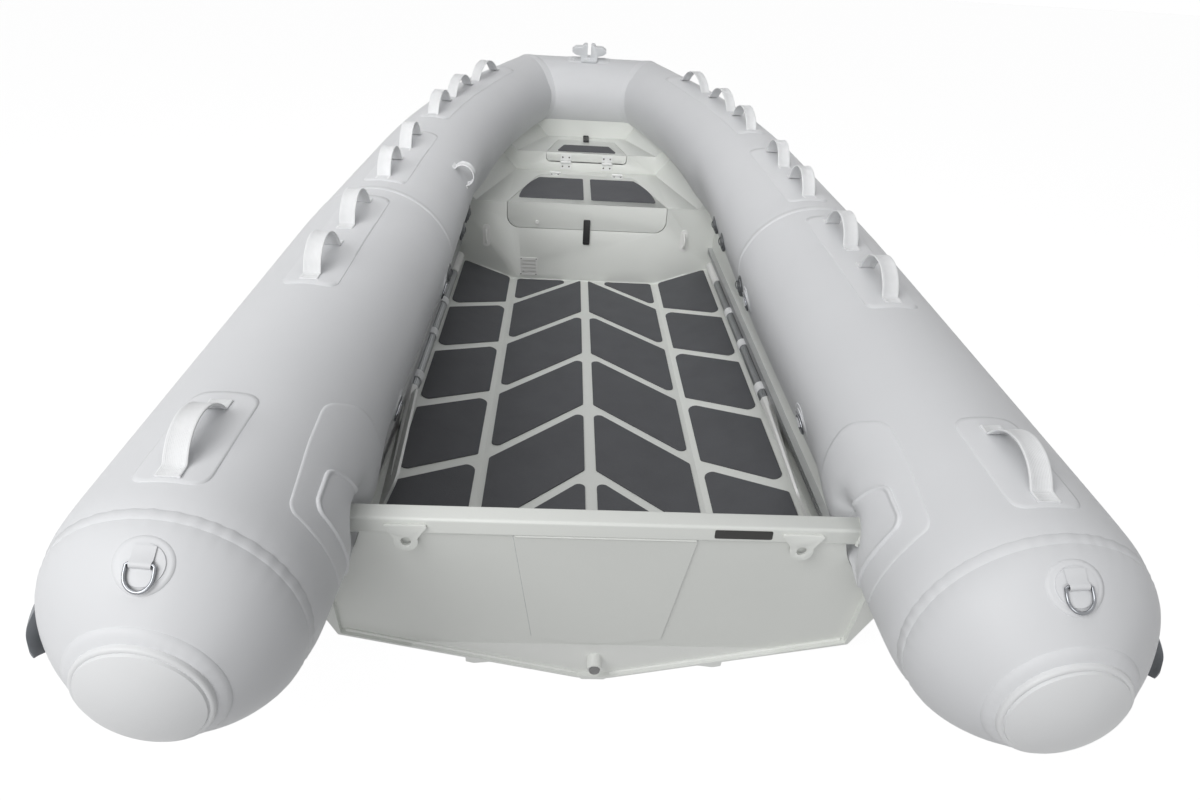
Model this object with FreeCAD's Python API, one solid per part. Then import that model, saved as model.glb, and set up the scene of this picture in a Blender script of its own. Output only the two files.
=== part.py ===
import FreeCAD, Part
import math
import os

# A rigid-hulled inflatable boat of the 3.8 m class: a welded aluminium vee hull inside two air tubes
# that join round a blunt bow, with two lockers forward whose lids lift. Millimetres. X is starboard,
# Y is forward, Z is up. The origin is on the centreline, at the waterline, below the aft face of the
# transom beam.

V = FreeCAD.Vector
UP = V(0, 0, 1)
STARBOARD = V(1, 0, 0)
FORWARD = V(0, 1, 0)
FAR = 3000.0

# Air tubes: the axis runs straight, bends in and meets the bow tube at a mitre
TUBE_R = 212.0
BOW_R = 157.0
TUBE_X = 659.0
TUBE_Z = 393.0
SPLAY = 0.0395
SHEER = 0.0751
TAPER_Y = 1000.0
TAPER_END_Y = 3000.0
BEND_Y = 1735.0
BOW_Y = 3200.0
MITRE_X = 280.0
MITRE_TURN = math.radians(23.0)
MITRE_RUN = 170.0
SEAM_Y = -245.0
TUBE_STEPS = 12
SEAT_GAP = 0.3
SKIN_GAP = 0.8

# Tapered tube ends and their domed caps
CONE_LENGTH = 148.0
CONE_END_R = 90.0
CONE_BULGE = 26.0
CAP_R = 96.0
CAP_RISE = 26.0
CAP_RIM = 7.0

# Rub strake round the outside of the tubes
STRAKE_HEIGHT = 88.0
STRAKE_RISE = 17.0
STRAKE_ANGLE = math.radians(-5.0)
STRAKE_TAIL = 34.0
STRAKE_SINK = 9.0

# Welded hull
DECK_Z = 15.0
DECK_FOLD_X = 300.0
DECK_SLOPE = 0.365
DECK_PLATE = 3.0
WALL_X = 534.0
KEEL_HALF = 35.0
KEEL_Z = -110.0
GUNWALE_DROP = 0.62
HULL_PANEL = 170.0
# One row a station: Y, keel height, chine half width, chine height, gunwale half width
HULL_STATIONS = (
    (-60.0, KEEL_Z, 530.0, 37.0, 606.0),
    (1200.0, KEEL_Z, 540.0, 45.0, 566.0),
    (1800.0, KEEL_Z + 4.0, 548.0, 60.0, 560.0),
    (2250.0, KEEL_Z + 24.0, 547.0, 88.0, 556.0),
    (2600.0, KEEL_Z + 74.0, 470.0, 165.0, 475.0),
    (2900.0, KEEL_Z + 160.0, 335.0, 275.0, 380.0),
    (3100.0, KEEL_Z + 270.0, 215.0, 375.0, 300.0),
    (3215.0, KEEL_Z + 430.0, 95.0, 440.0, 215.0),
)

# Transom, beam and fittings
TRANSOM_RAKE = math.radians(13.0)
TRANSOM_SET = 6.0
TRANSOM_LIP = 14.0
TRANSOM_PLATE = 4.0
TRANSOM_EDGE = 5.0
BEAM_DEPTH = 46.0
BEAM_HEIGHT = 35.0
BEAM_TOP_Z = 384.0
BEAM_HALF = 484.0
BEAM_EDGE_R = 6.0
BEAM_RELIEF = 5.0
MOTOR_PLATE = 3.0
MOTOR_TOP_HALF = 171.0
MOTOR_LOW_HALF = 136.0
MOTOR_FOOT_HALF = 49.0
MOTOR_LOW_Z = 30.0
MOTOR_FOOT_Z = 10.0
EYE_X = 365.5
EYE_PLATE = 6.0
EYE_TOP_HALF = 43.0
EYE_RISE = 24.0
EYE_TIP_R = 22.0
EYE_HOLE_R = 9.5
EYE_DROP = 12.0
DRAIN_BORE_R = 12.5
DRAIN_WALL = 3.5
DRAIN_LENGTH = 30.0
DRAIN_Z = -48.0
RAIL_X = 258.0
RAIL_DEPTH = 16.0
RAIL_HALF = 17.0
RAIL_END_Y = 2250.0
KEEL_STRIP = 6.0

# Anti-slip mats on the deck
MAT = 4.0
STRIP = 32.0
MAT_EDGE_X = 505.0
MAT_GAP = 10.0
MAT_LEAST = 60.0
MAT_CORNER_R = 16.0
CHEVRON_PITCH = 377.0
CHEVRON_SLOPE = 1.06
CHEVRON_FIRST_Y = 347.0
CHEVRON_COUNT = 6

# Lockers: a step behind the bulkhead and a bow box on it
BULKHEAD_Y = 2196.0
LOCKER_PLATE = 3.0
STEP_Z = 348.0
STEP_AFT_X = 458.0
BOX_Y = 2745.0
BOX_HALF = 322.0
BOX_Z = 432.0
BOW_EDGE_Y = 3098.0
BOW_EDGE_X = 190.0
# Stowage space, one row a station: Y, floor half width and height, bilge half width and height
LOCKER_ROWS = (
    (BULKHEAD_Y, 250.0, 40.0, 400.0, 120.0),
    (BOX_Y, 130.0, 90.0, 240.0, 240.0),
    (BOW_EDGE_Y, 25.0, 250.0, 80.0, 330.0),
)
FLARE_RUN = 75.0
FLARE_RISE = 85.0
VENT_X = -238.5
VENT_Z = 73.5
VENT_HALF_X = 36.5
VENT_HALF_Z = 38.5
VENT_FRAME = 7.0
VENT_PLATE = 4.0
VENT_SLATS = 4

PAD_EYES = ((-415.0, 201.0), (410.0, 213.0))
PAD_EYE_R = 28.0
PAD_EYE_BAR = 4.5

# Lids, their hinges and latches
LID_GAP = 5.0
STEP_HINGE_Y = 2680.0
STEP_LID_AFT_X = 325.0
STEP_LID_FORE_X = 205.0
STEP_LID_LIP = 103.0
STEP_LID_CORNER_R = 55.0
BOW_HINGE_Z = 390.0
BOW_LID_AFT_X = 182.0
BOW_LID_FORE_X = 128.0
BOW_LID_FORE_Y = 3020.0
BOW_LID_CORNER_R = 26.0
HINGE_SETBACK = 8.0
KNUCKLE_R = 5.5
KNUCKLE_GAP = 0.5
LEAF = 2.5
LEAF_LENGTH = 33.0
HINGE_WIDTH = 48.0
STEP_HINGE_X = 143.0
BOW_HINGE_X = 95.0
LATCH_WIDTH = 28.0
LATCH_LENGTH = 104.0
LATCH_HEEL = 34.0
LATCH_STRAP = 3.0
LATCH_STAND = 6.5
KEEPER_THICK = 3.0
KNOB_R = 9.0
KNOB_RISE = 12.0
KNOB_X = -206.0
STEP_MAT_AFT_X = 285.0
STEP_MAT_FORE_X = 212.0
STEP_MAT_INSET = 66.0
STEP_MAT_HINGE_GAP = 51.0
BOW_MAT_AFT_X = 136.0
BOW_MAT_FORE_X = 106.0
BOW_MAT_SPAN = (24.0, 148.0)

# Webbing handles on top of the tubes: the aft foot of each, and its span
WEB = 3.0
WEB_WIDTH = 39.0
WEB_FOOT = 24.0
HANDLE_RISE = 60.0
HANDLES = ((-151.0, 158.0), (531.0, 162.0), (818.0, 158.0), (1207.0, 158.0), (1497.0, 160.0),
           (1957.0, 205.0), (2238.0, 230.0), (2560.0, 240.0))
LOOP_Y = 1545.0
LOOP_ANGLE = math.radians(147.5)
LOOP_SPAN = 62.0
LOOP_RISE = 42.0
LOOP_FOOT = 12.0
LOOP_SINK = 4.2

# Fittings on the tubes
VALVE_R = 31.0
VALVE_RISE = 7.0
VALVES = ((1060.0, 185.0), (1397.0, 187.0), (1566.0, 190.0))
PATCH_R = 42.0
PATCH = 2.5
RING_BAR = 5.0
RING_HALF = 20.0
RING_BACK = 6.0
RING_TAB = 24.0
RING_PLACES = ((400.0, 190.0), (985.0, 188.0))
CONE_RING_SHARE = 0.42
CONE_RING_ANGLE = 99.0
FAIRLEAD_TILT = math.radians(14.0)
FAIRLEAD_DEPTH = 64.0
FAIRLEAD_WAIST = 40.0
FAIRLEAD_TOP = 76.0
FAIRLEAD_SLOT = 17.0
FAIRLEAD_HORN = 89.0
BOW_PATCH_HALF = 102.0
BOW_PATCH_ARC = math.radians(38.0)

# Oars strapped along the sides, and the rails that hold their straps
OAR_X = 515.0
OAR_Z = 146.0
SHAFT_R = 16.0
GRIP_R = 19.0
GRIP_Y = (1880.0, 2090.0)
SHAFT_Y = (930.0, 1880.0)
BLADE_Y = (300.0, 860.0)
BLADE_X = 489.0
BLADE_Z = 177.0
BLADE_HALF = 62.0
BLADE_THICK = 6.0
BLADE_LEAN = math.radians(25.0)
SPINE_R = 13.0
SPINE_TIP_R = 5.0
STRAP = 3.0
STRAP_WIDTH = 42.0
STRAP_PLACES = (1000.0, 1310.0, 1580.0)
TRACK_WIDTH = 18.0
TRACK_Z = 167.0
TRACK_HEIGHT = 20.0
TRACK_GROOVE = 4.0
TRACK_AFT_Y = 112.0


def save(name, shape):
    shape.exportStep("parts/%s.step" % name)


def mirrored(shape):
    return shape.mirror(V(0, 0, 0), STARBOARD)


def save_pair(name, starboard):
    save(name + "_starboard", starboard)
    save(name + "_port", mirrored(starboard))


def group(shapes):
    return Part.makeCompound(list(shapes))


def both_sides(starboard_shapes):
    return group(list(starboard_shapes) + [mirrored(s) for s in starboard_shapes])


def polygon_wire(points):
    return Part.makePolygon(list(points) + [points[0]])


def rounded_wire(points, radii):
    """Closed outline with an arc at each corner, no larger than its two runs allow."""
    count = len(points)
    if not isinstance(radii, (list, tuple)):
        radii = [radii] * count
    starts, ends, middles = [], [], []
    for i, corner in enumerate(points):
        back = points[i - 1] - corner
        ahead = points[(i + 1) % count] - corner
        half_angle = back.getAngle(ahead) / 2
        reach = min(radii[i] / math.tan(half_angle), 0.45 * back.Length, 0.45 * ahead.Length)
        radius = reach * math.tan(half_angle)
        start = corner + V(back).normalize() * reach
        end = corner + V(ahead).normalize() * reach
        bisector = (V(back).normalize() + V(ahead).normalize()).normalize()
        middle = corner + bisector * (radius / math.sin(half_angle) - radius)
        starts.append(start)
        ends.append(end)
        middles.append(middle)
    edges = []
    for i in range(count):
        if (ends[i] - starts[i]).Length > 0.01:
            edges.append(Part.Arc(starts[i], middles[i], ends[i]).toShape())
        edges.append(Part.makeLine(ends[i], starts[(i + 1) % count]))
    return Part.Wire(edges)


def extrude(points, direction):
    return Part.Face(polygon_wire(points)).extrude(direction)


def extrude_rounded(points, radii, direction):
    return Part.Face(rounded_wire(points, radii)).extrude(direction)


def symmetric(half, y):
    """Closed outline at one station, from points on the starboard side listed from the keel up."""
    starboard = [V(x, y, z) for x, z in half]
    port = [V(-x, y, z) for x, z in reversed(half) if x > 0]
    return starboard + port


def hull_loft(sections, ruled=False):
    return Part.makeLoft([polygon_wire(s) for s in sections], True, ruled)


def prism(half, y0, y1):
    return extrude(symmetric(half, y0), V(0, y1 - y0, 0))


def tube_x(y):
    """Half spacing of the tube axes at a station."""
    if y <= BEND_Y:
        return TUBE_X - SPLAY * y
    start = TUBE_X - SPLAY * BEND_Y
    reach = BOW_Y - BEND_Y
    t = min((y - BEND_Y) / reach, 1.0)
    bend = ((2 * t**3 - 3 * t**2 + 1) * start
            + (t**3 - 2 * t**2 + t) * reach * -SPLAY
            + (3 * t**2 - 2 * t**3) * MITRE_X
            + (t**3 - t**2) * reach * -math.tan(MITRE_TURN))
    return bend - max(y - BOW_Y, 0.0) * math.tan(MITRE_TURN)


def tube_z(y):
    return TUBE_Z + SHEER * y


def tube_r(y):
    share = min(max((y - TAPER_Y) / (TAPER_END_Y - TAPER_Y), 0.0), 1.0)
    return TUBE_R + (BOW_R - TUBE_R) * share


def tube_point(y):
    return V(tube_x(y), y, tube_z(y))


def tube_heading(y):
    step = 0.5
    return (tube_point(y + step) - tube_point(y - step)).normalize()


def placed(centre, heading):
    """Frame at a point of the tube: its Z axis along the heading, its X axis level."""
    level = heading.cross(UP).normalize()
    return FreeCAD.Placement(centre, FreeCAD.Rotation(level, heading.cross(level), heading, "ZXY"))


def ring(y, radius):
    """Circular section of the starboard tube, its closing point up and outboard, clear of the fittings."""
    wire = Part.Wire(Part.Circle(V(0, 0, 0), UP, radius).toShape())
    turned = FreeCAD.Placement(V(0, 0, 0), FreeCAD.Rotation(UP, -50))
    wire.Placement = placed(tube_point(y), tube_heading(y)).multiply(turned)
    return wire


def mitre_cut(keep_bow):
    """Half space on one side of the mitre plane between the starboard tube and the bow tube."""
    normal = (tube_heading(BOW_Y + 1.0) - STARBOARD).normalize()
    size = 4 * FAR
    block = Part.makeBox(size, size, size, V(-size / 2, -size / 2, 0))
    if not keep_bow:
        block.translate(V(0, 0, -size))
    block.Placement = placed(tube_point(BOW_Y), normal).multiply(block.Placement)
    return block


def tube_stations():
    """Stations of the side tube's sections: the last seam, then even steps from the start of the taper."""
    run_out = BOW_Y + MITRE_RUN
    return [SEAM_Y] + [TAPER_Y + (run_out - TAPER_Y) * i / TUBE_STEPS for i in range(TUBE_STEPS + 1)]


def side_tube(grow=0.0):
    """Starboard tube; the port one is its mirror image."""
    rings = [ring(y, tube_r(y) + grow) for y in tube_stations()[1:]]
    straight = Part.makeLoft([ring(SEAM_Y, TUBE_R + grow), rings[0]], True, True)
    bent = Part.makeLoft(rings, True, False)
    tube = straight.fuse(bent).removeSplitter()
    return tube.common(mitre_cut(keep_bow=False))


def bow_tube(grow=0.0):
    length = 2 * (MITRE_X + BOW_R)
    tube = Part.makeCylinder(BOW_R + grow, length, V(-length / 2, BOW_Y, tube_z(BOW_Y)), STARBOARD)
    bow_side = mitre_cut(keep_bow=True)
    return tube.common(bow_side).common(mirrored(bow_side))


def beam(grow=0.0):
    """Box-section beam across the top of the transom, its long edges rounded."""
    bar = Part.makeBox(2 * (BEAM_HALF + grow), BEAM_DEPTH + 2 * grow, BEAM_HEIGHT + 2 * grow,
                       V(-BEAM_HALF - grow, -grow, BEAM_TOP_Z - BEAM_HEIGHT - grow))
    long_edges = [e for e in bar.Edges if e.Length > BEAM_HALF]
    return bar.makeFillet(BEAM_EDGE_R + grow, long_edges)


def cone_flank(grow=0.0):
    return Part.Arc(V(TUBE_R + grow, 0, 0),
                    V((TUBE_R + CONE_END_R) / 2 + CONE_BULGE + grow, 0, CONE_LENGTH / 2 + CONE_BULGE * 0.7),
                    V(CONE_END_R + grow, 0, CONE_LENGTH))


def cone_frame():
    """Frame at the last seam of the starboard tube: Z aft, X inboard, Y down."""
    return placed(tube_point(SEAM_Y), tube_heading(SEAM_Y) * -1)


def cone(grow=0.0):
    """Tapered end with a full, rounded flank, from the last seam to the cap."""
    end = Part.makeLine(V(CONE_END_R + grow, 0, CONE_LENGTH), V(0, 0, CONE_LENGTH))
    axis = Part.makeLine(V(0, 0, CONE_LENGTH), V(0, 0, 0))
    root = Part.makeLine(V(0, 0, 0), V(TUBE_R + grow, 0, 0))
    body = Part.Face(Part.Wire([root, cone_flank(grow).toShape(), end, axis])).revolve(V(0, 0, 0), UP, 360)
    body.Placement = cone_frame()
    return body


def end_cap():
    """Cap on the tapered end: a raised rim and a shallow dome, part of a sphere."""
    base = Part.makeLine(V(0, 0, 0), V(CAP_R, 0, 0))
    rim = Part.makeLine(V(CAP_R, 0, 0), V(CAP_R, 0, CAP_RIM))
    sphere_r = (CAP_R**2 + CAP_RISE**2) / (2 * CAP_RISE)
    half_angle = math.asin(CAP_R / sphere_r) / 2
    centre_z = CAP_RIM + CAP_RISE - sphere_r
    dome = Part.Arc(V(CAP_R, 0, CAP_RIM),
                    V(sphere_r * math.sin(half_angle), 0, centre_z + sphere_r * math.cos(half_angle)),
                    V(0, 0, CAP_RIM + CAP_RISE)).toShape()
    axis = Part.makeLine(V(0, 0, CAP_RIM + CAP_RISE), V(0, 0, 0))
    cap = Part.Face(Part.Wire([base, rim, dome, axis])).revolve(V(0, 0, 0), UP, 360)
    cap.Placement = cone_frame().multiply(FreeCAD.Placement(V(0, 0, CONE_LENGTH), FreeCAD.Rotation()))
    return cap


def frame_on_tube(y, angle, lift=0.0):
    """Frame on the starboard tube's skin: X along the tube forward, Y across it, Z out of the skin.

    Angle 0 is outboard, 90 degrees up, 180 inboard.
    """
    heading = tube_heading(y)
    outboard = heading.cross(UP).normalize()
    out = outboard * math.cos(angle) + outboard.cross(heading) * math.sin(angle)
    origin = tube_point(y) + out * (tube_r(y) + lift)
    return FreeCAD.Placement(origin, FreeCAD.Rotation(heading, out.cross(heading), out, "ZXY"))


def strake_section(sink):
    """Half-round section in a frame whose Z points out of the skin and Y up it."""
    half = STRAKE_HEIGHT / 2
    foot = [V(0, half, -sink), V(0, half, 0), V(0, half * 0.62, STRAKE_RISE * 0.82), V(0, 0, STRAKE_RISE)]
    lower = [V(0, -p.y, p.z) for p in reversed(foot[:-1])]
    return foot + lower


def rub_strake(tube):
    wires = []
    for y in [SEAM_Y - STRAKE_TAIL] + tube_stations()[1:]:
        wire = polygon_wire(strake_section(STRAKE_SINK))
        wire.Placement = frame_on_tube(y, STRAKE_ANGLE)
        wires.append(wire)
    straight = Part.makeLoft(wires[:2], True, True)
    bent = Part.makeLoft(wires[1:], True, False)
    strip = straight.fuse(bent).removeSplitter()
    return strip.common(mitre_cut(keep_bow=False)).cut(tube).cut(cone())


def bow_strake(tube):
    """Straight length of the strake across the bow tube, mitred to the side lengths."""
    length = 2 * (MITRE_X + BOW_R + STRAKE_RISE)
    out = V(0, math.cos(STRAKE_ANGLE), math.sin(STRAKE_ANGLE))
    frame = FreeCAD.Placement(V(-length / 2, BOW_Y, tube_z(BOW_Y)) + out * BOW_R,
                              FreeCAD.Rotation(STARBOARD, out.cross(STARBOARD), out, "ZXY"))
    wire = polygon_wire(strake_section(STRAKE_SINK))
    wire.Placement = frame
    strip = Part.Face(wire).extrude(V(length, 0, 0))
    bow_side = mitre_cut(keep_bow=True)
    return strip.common(bow_side).common(mirrored(bow_side)).cut(tube)


def hull_section(y, keel_z, chine_x, chine_z, gunwale_x):
    gunwale_z = tube_z(y) - GUNWALE_DROP * tube_r(y)
    return symmetric([(KEEL_HALF, keel_z), (chine_x, chine_z), (gunwale_x, gunwale_z)], y)


def hull_row(y):
    """Hull lines at any station: straight runs aft, smooth curves between the given stations forward."""
    rows = HULL_STATIONS
    i = max(k for k in range(len(rows) - 1) if rows[k][0] <= y)
    reach = rows[i + 1][0] - rows[i][0]
    t = (y - rows[i][0]) / reach

    def slope(k, column):
        if k == 0 or k == len(rows) - 1:
            a, b = (0, 1) if k == 0 else (k - 1, k)
            return (rows[b][column] - rows[a][column]) / (rows[b][0] - rows[a][0])
        before = (rows[k][column] - rows[k - 1][column]) / (rows[k][0] - rows[k - 1][0])
        after = (rows[k + 1][column] - rows[k][column]) / (rows[k + 1][0] - rows[k][0])
        if before * after <= 0:
            return 0.0
        return 2 * before * after / (before + after)

    row = [y]
    for column in range(1, len(rows[0])):
        value = ((2 * t**3 - 3 * t**2 + 1) * rows[i][column]
                 + (t**3 - 2 * t**2 + t) * reach * slope(i, column)
                 + (3 * t**2 - 2 * t**3) * rows[i + 1][column]
                 + (t**3 - t**2) * reach * slope(i + 1, column))
        row.append(value)
    return row


def hull_rows(last_y):
    """Rows from the transom to last_y: one long aft panel, then evenly spaced stations."""
    first = HULL_STATIONS[1][0]
    count = round((last_y - first) / HULL_PANEL)
    return [hull_row(HULL_STATIONS[0][0])] + [hull_row(first + (last_y - first) * k / count)
                                              for k in range(count + 1)]


def outer_hull():
    return hull_loft([hull_section(*row) for row in hull_rows(HULL_STATIONS[-1][0])], True)


def deck_height(x):
    return DECK_Z + max(x - DECK_FOLD_X, 0.0) * DECK_SLOPE


def deck_profile(lower):
    """Half outline of the cockpit from the deck up, lowered by the deck's plate for the void."""
    return [(DECK_FOLD_X, DECK_Z - lower), (WALL_X, deck_height(WALL_X) - lower), (WALL_X, FAR)]


def raked_slab(ahead, thickness):
    """Slab parallel to the raked transom, from ahead millimetres forward of its aft face."""
    slab = Part.makeBox(2 * FAR, thickness, 2 * FAR, V(-FAR, ahead, -FAR))
    slab.rotate(V(0, 0, 0), STARBOARD, math.degrees(TRANSOM_RAKE))
    slab.translate(V(0, TRANSOM_SET, BEAM_TOP_Z - BEAM_HEIGHT))
    return slab


def transom_y(z):
    """Y of the transom's aft face at a height."""
    return TRANSOM_SET + (BEAM_TOP_Z - BEAM_HEIGHT - z) * math.tan(TRANSOM_RAKE)


def transom_profile():
    _, keel_z, chine_x, chine_z, _ = HULL_STATIONS[0]
    return [(KEEL_HALF, keel_z + TRANSOM_EDGE), (chine_x - TRANSOM_EDGE, chine_z + TRANSOM_EDGE),
            (chine_x + TRANSOM_EDGE * 4, FAR)]


def locker_edge_x(y):
    """Half width of the locker tops, from the bulkhead to the bow."""
    if y <= BOX_Y:
        t = (y - BULKHEAD_Y) / (BOX_Y - BULKHEAD_Y)
        return STEP_AFT_X + (BOX_HALF - STEP_AFT_X) * t
    t = (y - BOX_Y) / (BOW_EDGE_Y - BOX_Y)
    return BOX_HALF + (BOW_EDGE_X - BOX_HALF) * t


def locker_void():
    """Stowage space under the lids, inside the hull plates."""
    def section(y, floor_x, floor_z, bilge_x, bilge_z):
        edge = locker_edge_x(y)
        return symmetric([(floor_x, floor_z), (bilge_x, bilge_z), (edge, STEP_Z - LOCKER_PLATE - 1),
                          (edge, FAR)], y)
    aft, middle, bow = (section(*row) for row in LOCKER_ROWS)
    return hull_loft([aft, middle], True).fuse(hull_loft([middle, bow], True))


def flare(y0, y1, z):
    """Open air above a locker top, with sides that lean out to the tubes."""
    def section(y):
        x = locker_edge_x(y)
        return symmetric([(x, z), (x + FLARE_RUN, z + FLARE_RISE), (x + FLARE_RUN, FAR)], y)
    return hull_loft([section(y0), section(y1)], True)


def hull_shell(outer, envelope):
    hull = outer.common(raked_slab(-TRANSOM_LIP, 2 * FAR))
    cockpit = prism(deck_profile(DECK_PLATE), -FAR, BULKHEAD_Y + LOCKER_PLATE)
    cockpit = cockpit.common(raked_slab(TRANSOM_PLATE, 2 * FAR))
    behind = prism(transom_profile(), -FAR, FAR).cut(raked_slab(TRANSOM_PLATE, 3 * FAR))
    hull = hull.cut(behind).cut(cockpit).cut(locker_void())
    hull = hull.cut(flare(BULKHEAD_Y, BOX_Y, STEP_Z)).cut(flare(BOX_Y, BOW_EDGE_Y, BOX_Z))
    return hull.cut(envelope)


def transom_plate(envelope):
    plate = prism(transom_profile(), -FAR, FAR).common(raked_slab(0.0, TRANSOM_PLATE))
    below_beam = Part.makeBox(2 * FAR, 2 * FAR, 2 * FAR,
                              V(-FAR, -FAR, BEAM_TOP_Z - BEAM_HEIGHT - 2 * FAR))
    return plate.common(below_beam).cut(envelope)


def motor_plate():
    outline = [V(MOTOR_FOOT_HALF, -FAR, MOTOR_FOOT_Z), V(MOTOR_LOW_HALF, -FAR, MOTOR_LOW_Z),
               V(MOTOR_TOP_HALF, -FAR, BEAM_TOP_Z - BEAM_HEIGHT - 1),
               V(-MOTOR_TOP_HALF, -FAR, BEAM_TOP_Z - BEAM_HEIGHT - 1),
               V(-MOTOR_LOW_HALF, -FAR, MOTOR_LOW_Z), V(-MOTOR_FOOT_HALF, -FAR, MOTOR_FOOT_Z)]
    return extrude(outline, V(0, 2 * FAR, 0)).common(raked_slab(-MOTOR_PLATE, MOTOR_PLATE))


def tow_eye():
    """Flat eye welded on the aft face of the beam, its tip hanging below."""
    top = BEAM_TOP_Z - BEAM_HEIGHT + EYE_RISE
    centre = V(EYE_X, -EYE_PLATE, BEAM_TOP_Z - BEAM_HEIGHT - EYE_DROP)
    shoulder = BEAM_TOP_Z - BEAM_HEIGHT + 4.0
    web = extrude_rounded([V(EYE_X - EYE_TOP_HALF, -EYE_PLATE, top),
                           V(EYE_X + EYE_TOP_HALF, -EYE_PLATE, top),
                           V(EYE_X + EYE_TIP_R * 1.25, -EYE_PLATE, shoulder),
                           V(EYE_X + EYE_TIP_R * 0.8, -EYE_PLATE, centre.z),
                           V(EYE_X - EYE_TIP_R * 0.8, -EYE_PLATE, centre.z),
                           V(EYE_X - EYE_TIP_R * 1.25, -EYE_PLATE, shoulder)],
                          [4, 4, 12, 0.5, 0.5, 12], V(0, EYE_PLATE, 0))
    tip = Part.makeCylinder(EYE_TIP_R, EYE_PLATE, centre, FORWARD)
    return web.fuse(tip).cut(Part.makeCylinder(EYE_HOLE_R, EYE_PLATE, centre, FORWARD)).removeSplitter()


def drain_pipe():
    aft = V(0, -math.cos(TRANSOM_RAKE), -math.sin(TRANSOM_RAKE))
    root = V(0, transom_y(DRAIN_Z), DRAIN_Z)
    outer = Part.makeCylinder(DRAIN_BORE_R + DRAIN_WALL, DRAIN_LENGTH, root, aft)
    return outer.cut(Part.makeCylinder(DRAIN_BORE_R, DRAIN_LENGTH, root, aft))


def bottom_height(row, x):
    _, keel_z, chine_x, chine_z, _ = row
    return keel_z + (chine_z - keel_z) * (x - KEEL_HALF) / (chine_x - KEEL_HALF)


def spray_rail(outer):
    """Pressed rail under the bottom, an angle that turns spray down."""
    sections = []
    for row in hull_rows(RAIL_END_Y):
        z = bottom_height(row, RAIL_X)
        sections.append([V(RAIL_X - RAIL_HALF * 2, row[0], bottom_height(row, RAIL_X - RAIL_HALF * 2)),
                         V(RAIL_X, row[0], z - RAIL_DEPTH), V(RAIL_X + RAIL_HALF, row[0], z - RAIL_DEPTH + 6),
                         V(RAIL_X + RAIL_HALF, row[0], z + RAIL_DEPTH)])
    rail = hull_loft(sections, True).common(raked_slab(-TRANSOM_LIP, 2 * FAR))
    return rail.cut(outer)


def keel_guard(outer):
    sections = []
    for row in hull_rows(HULL_STATIONS[-2][0]):
        sections.append(symmetric([(KEEL_HALF * 0.7, row[1] - KEEL_STRIP), (KEEL_HALF, row[1] + KEEL_STRIP)],
                                  row[0]))
    strip = hull_loft(sections, True).common(raked_slab(-TRANSOM_LIP, 2 * FAR))
    return strip.cut(outer)


def deck_plate():
    half = [(DECK_FOLD_X, DECK_Z), (WALL_X, deck_height(WALL_X))]
    low = [(WALL_X, deck_height(WALL_X) - DECK_PLATE), (DECK_FOLD_X, DECK_Z - DECK_PLATE)]
    outline = ([V(x, -FAR, z) for x, z in half + low]
               + [V(-x, -FAR, z) for x, z in reversed(half + low)])
    plate = extrude(outline, V(0, FAR + BULKHEAD_Y, 0))
    return plate.common(raked_slab(TRANSOM_PLATE, 2 * FAR))


def chevron(k, x, shift):
    """Y of one edge of strip k at half width x; shift is -1 for its aft edge, 1 for its forward edge."""
    across = STRIP / 2 * math.hypot(1.0, CHEVRON_SLOPE)
    return CHEVRON_FIRST_Y + CHEVRON_PITCH * k - CHEVRON_SLOPE * x + shift * across


def clipped(points, level):
    """Outline cut back to the side where level, a linear function of the point, isn't negative."""
    kept = []
    for before, point in zip([points[-1]] + points[:-1], points):
        if level(before) * level(point) < 0:
            kept.append(before + (point - before) * (level(before) / (level(before) - level(point))))
        if level(point) >= 0:
            kept.append(point)
    return kept


def deck_mat_outlines(inner, outer):
    """Plan outlines of the mats in one column, cut by the strips from the transom to the bulkhead."""
    aft = transom_y(deck_height(inner)) + TRANSOM_PLATE + MAT_GAP
    fore = BULKHEAD_Y - MAT_GAP
    column = [V(inner, aft, 0), V(outer, aft, 0), V(outer, fore, 0), V(inner, fore, 0)]
    outlines = []
    for k in range(CHEVRON_COUNT + 1):
        points = clipped(column, lambda p: p.y - chevron(k - 1, p.x, 1))
        if k < CHEVRON_COUNT:
            points = clipped(points, lambda p: chevron(k, p.x, -1) - p.y)
        if points and max(p.y for p in points) - min(p.y for p in points) > MAT_LEAST:
            outlines.append(points)
    return outlines


def deck_mats(inner, outer):
    top = [V(x, -FAR, deck_height(x) + MAT) for x in (inner, outer)]
    low = [V(x, -FAR, deck_height(x)) for x in (outer, inner)]
    layer = extrude(top + low, V(0, 2 * FAR, 0))
    mats = []
    for points in deck_mat_outlines(inner, outer):
        block = extrude_rounded(points, MAT_CORNER_R, V(0, 0, FAR / 4))
        mats.append(block.common(layer))
    return group(mats)


def lid_plan(aft_x, fore_x, aft_y, fore_y, z, grow=0.0):
    return [V(-aft_x - grow, aft_y, z), V(aft_x + grow, aft_y, z),
            V(fore_x + grow, fore_y, z), V(-fore_x - grow, fore_y, z)]


def lid_form(aft_x, fore_x, aft_y, fore_y, top_z, lip_z, corner_r, grow=0.0):
    """A lid folded from one plate: its top, and a lip down the face of the locker."""
    top = extrude_rounded(lid_plan(aft_x, fore_x, aft_y, fore_y, top_z - LOCKER_PLATE, grow),
                          [0.5, 0.5, corner_r, corner_r], V(0, 0, LOCKER_PLATE))
    lip = extrude_rounded([V(-aft_x - grow, aft_y, lip_z), V(aft_x + grow, aft_y, lip_z),
                           V(aft_x + grow, aft_y, top_z), V(-aft_x - grow, aft_y, top_z)],
                          [corner_r, corner_r, 0.5, 0.5], V(0, LOCKER_PLATE, 0))
    return top.fuse(lip).removeSplitter()


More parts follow.
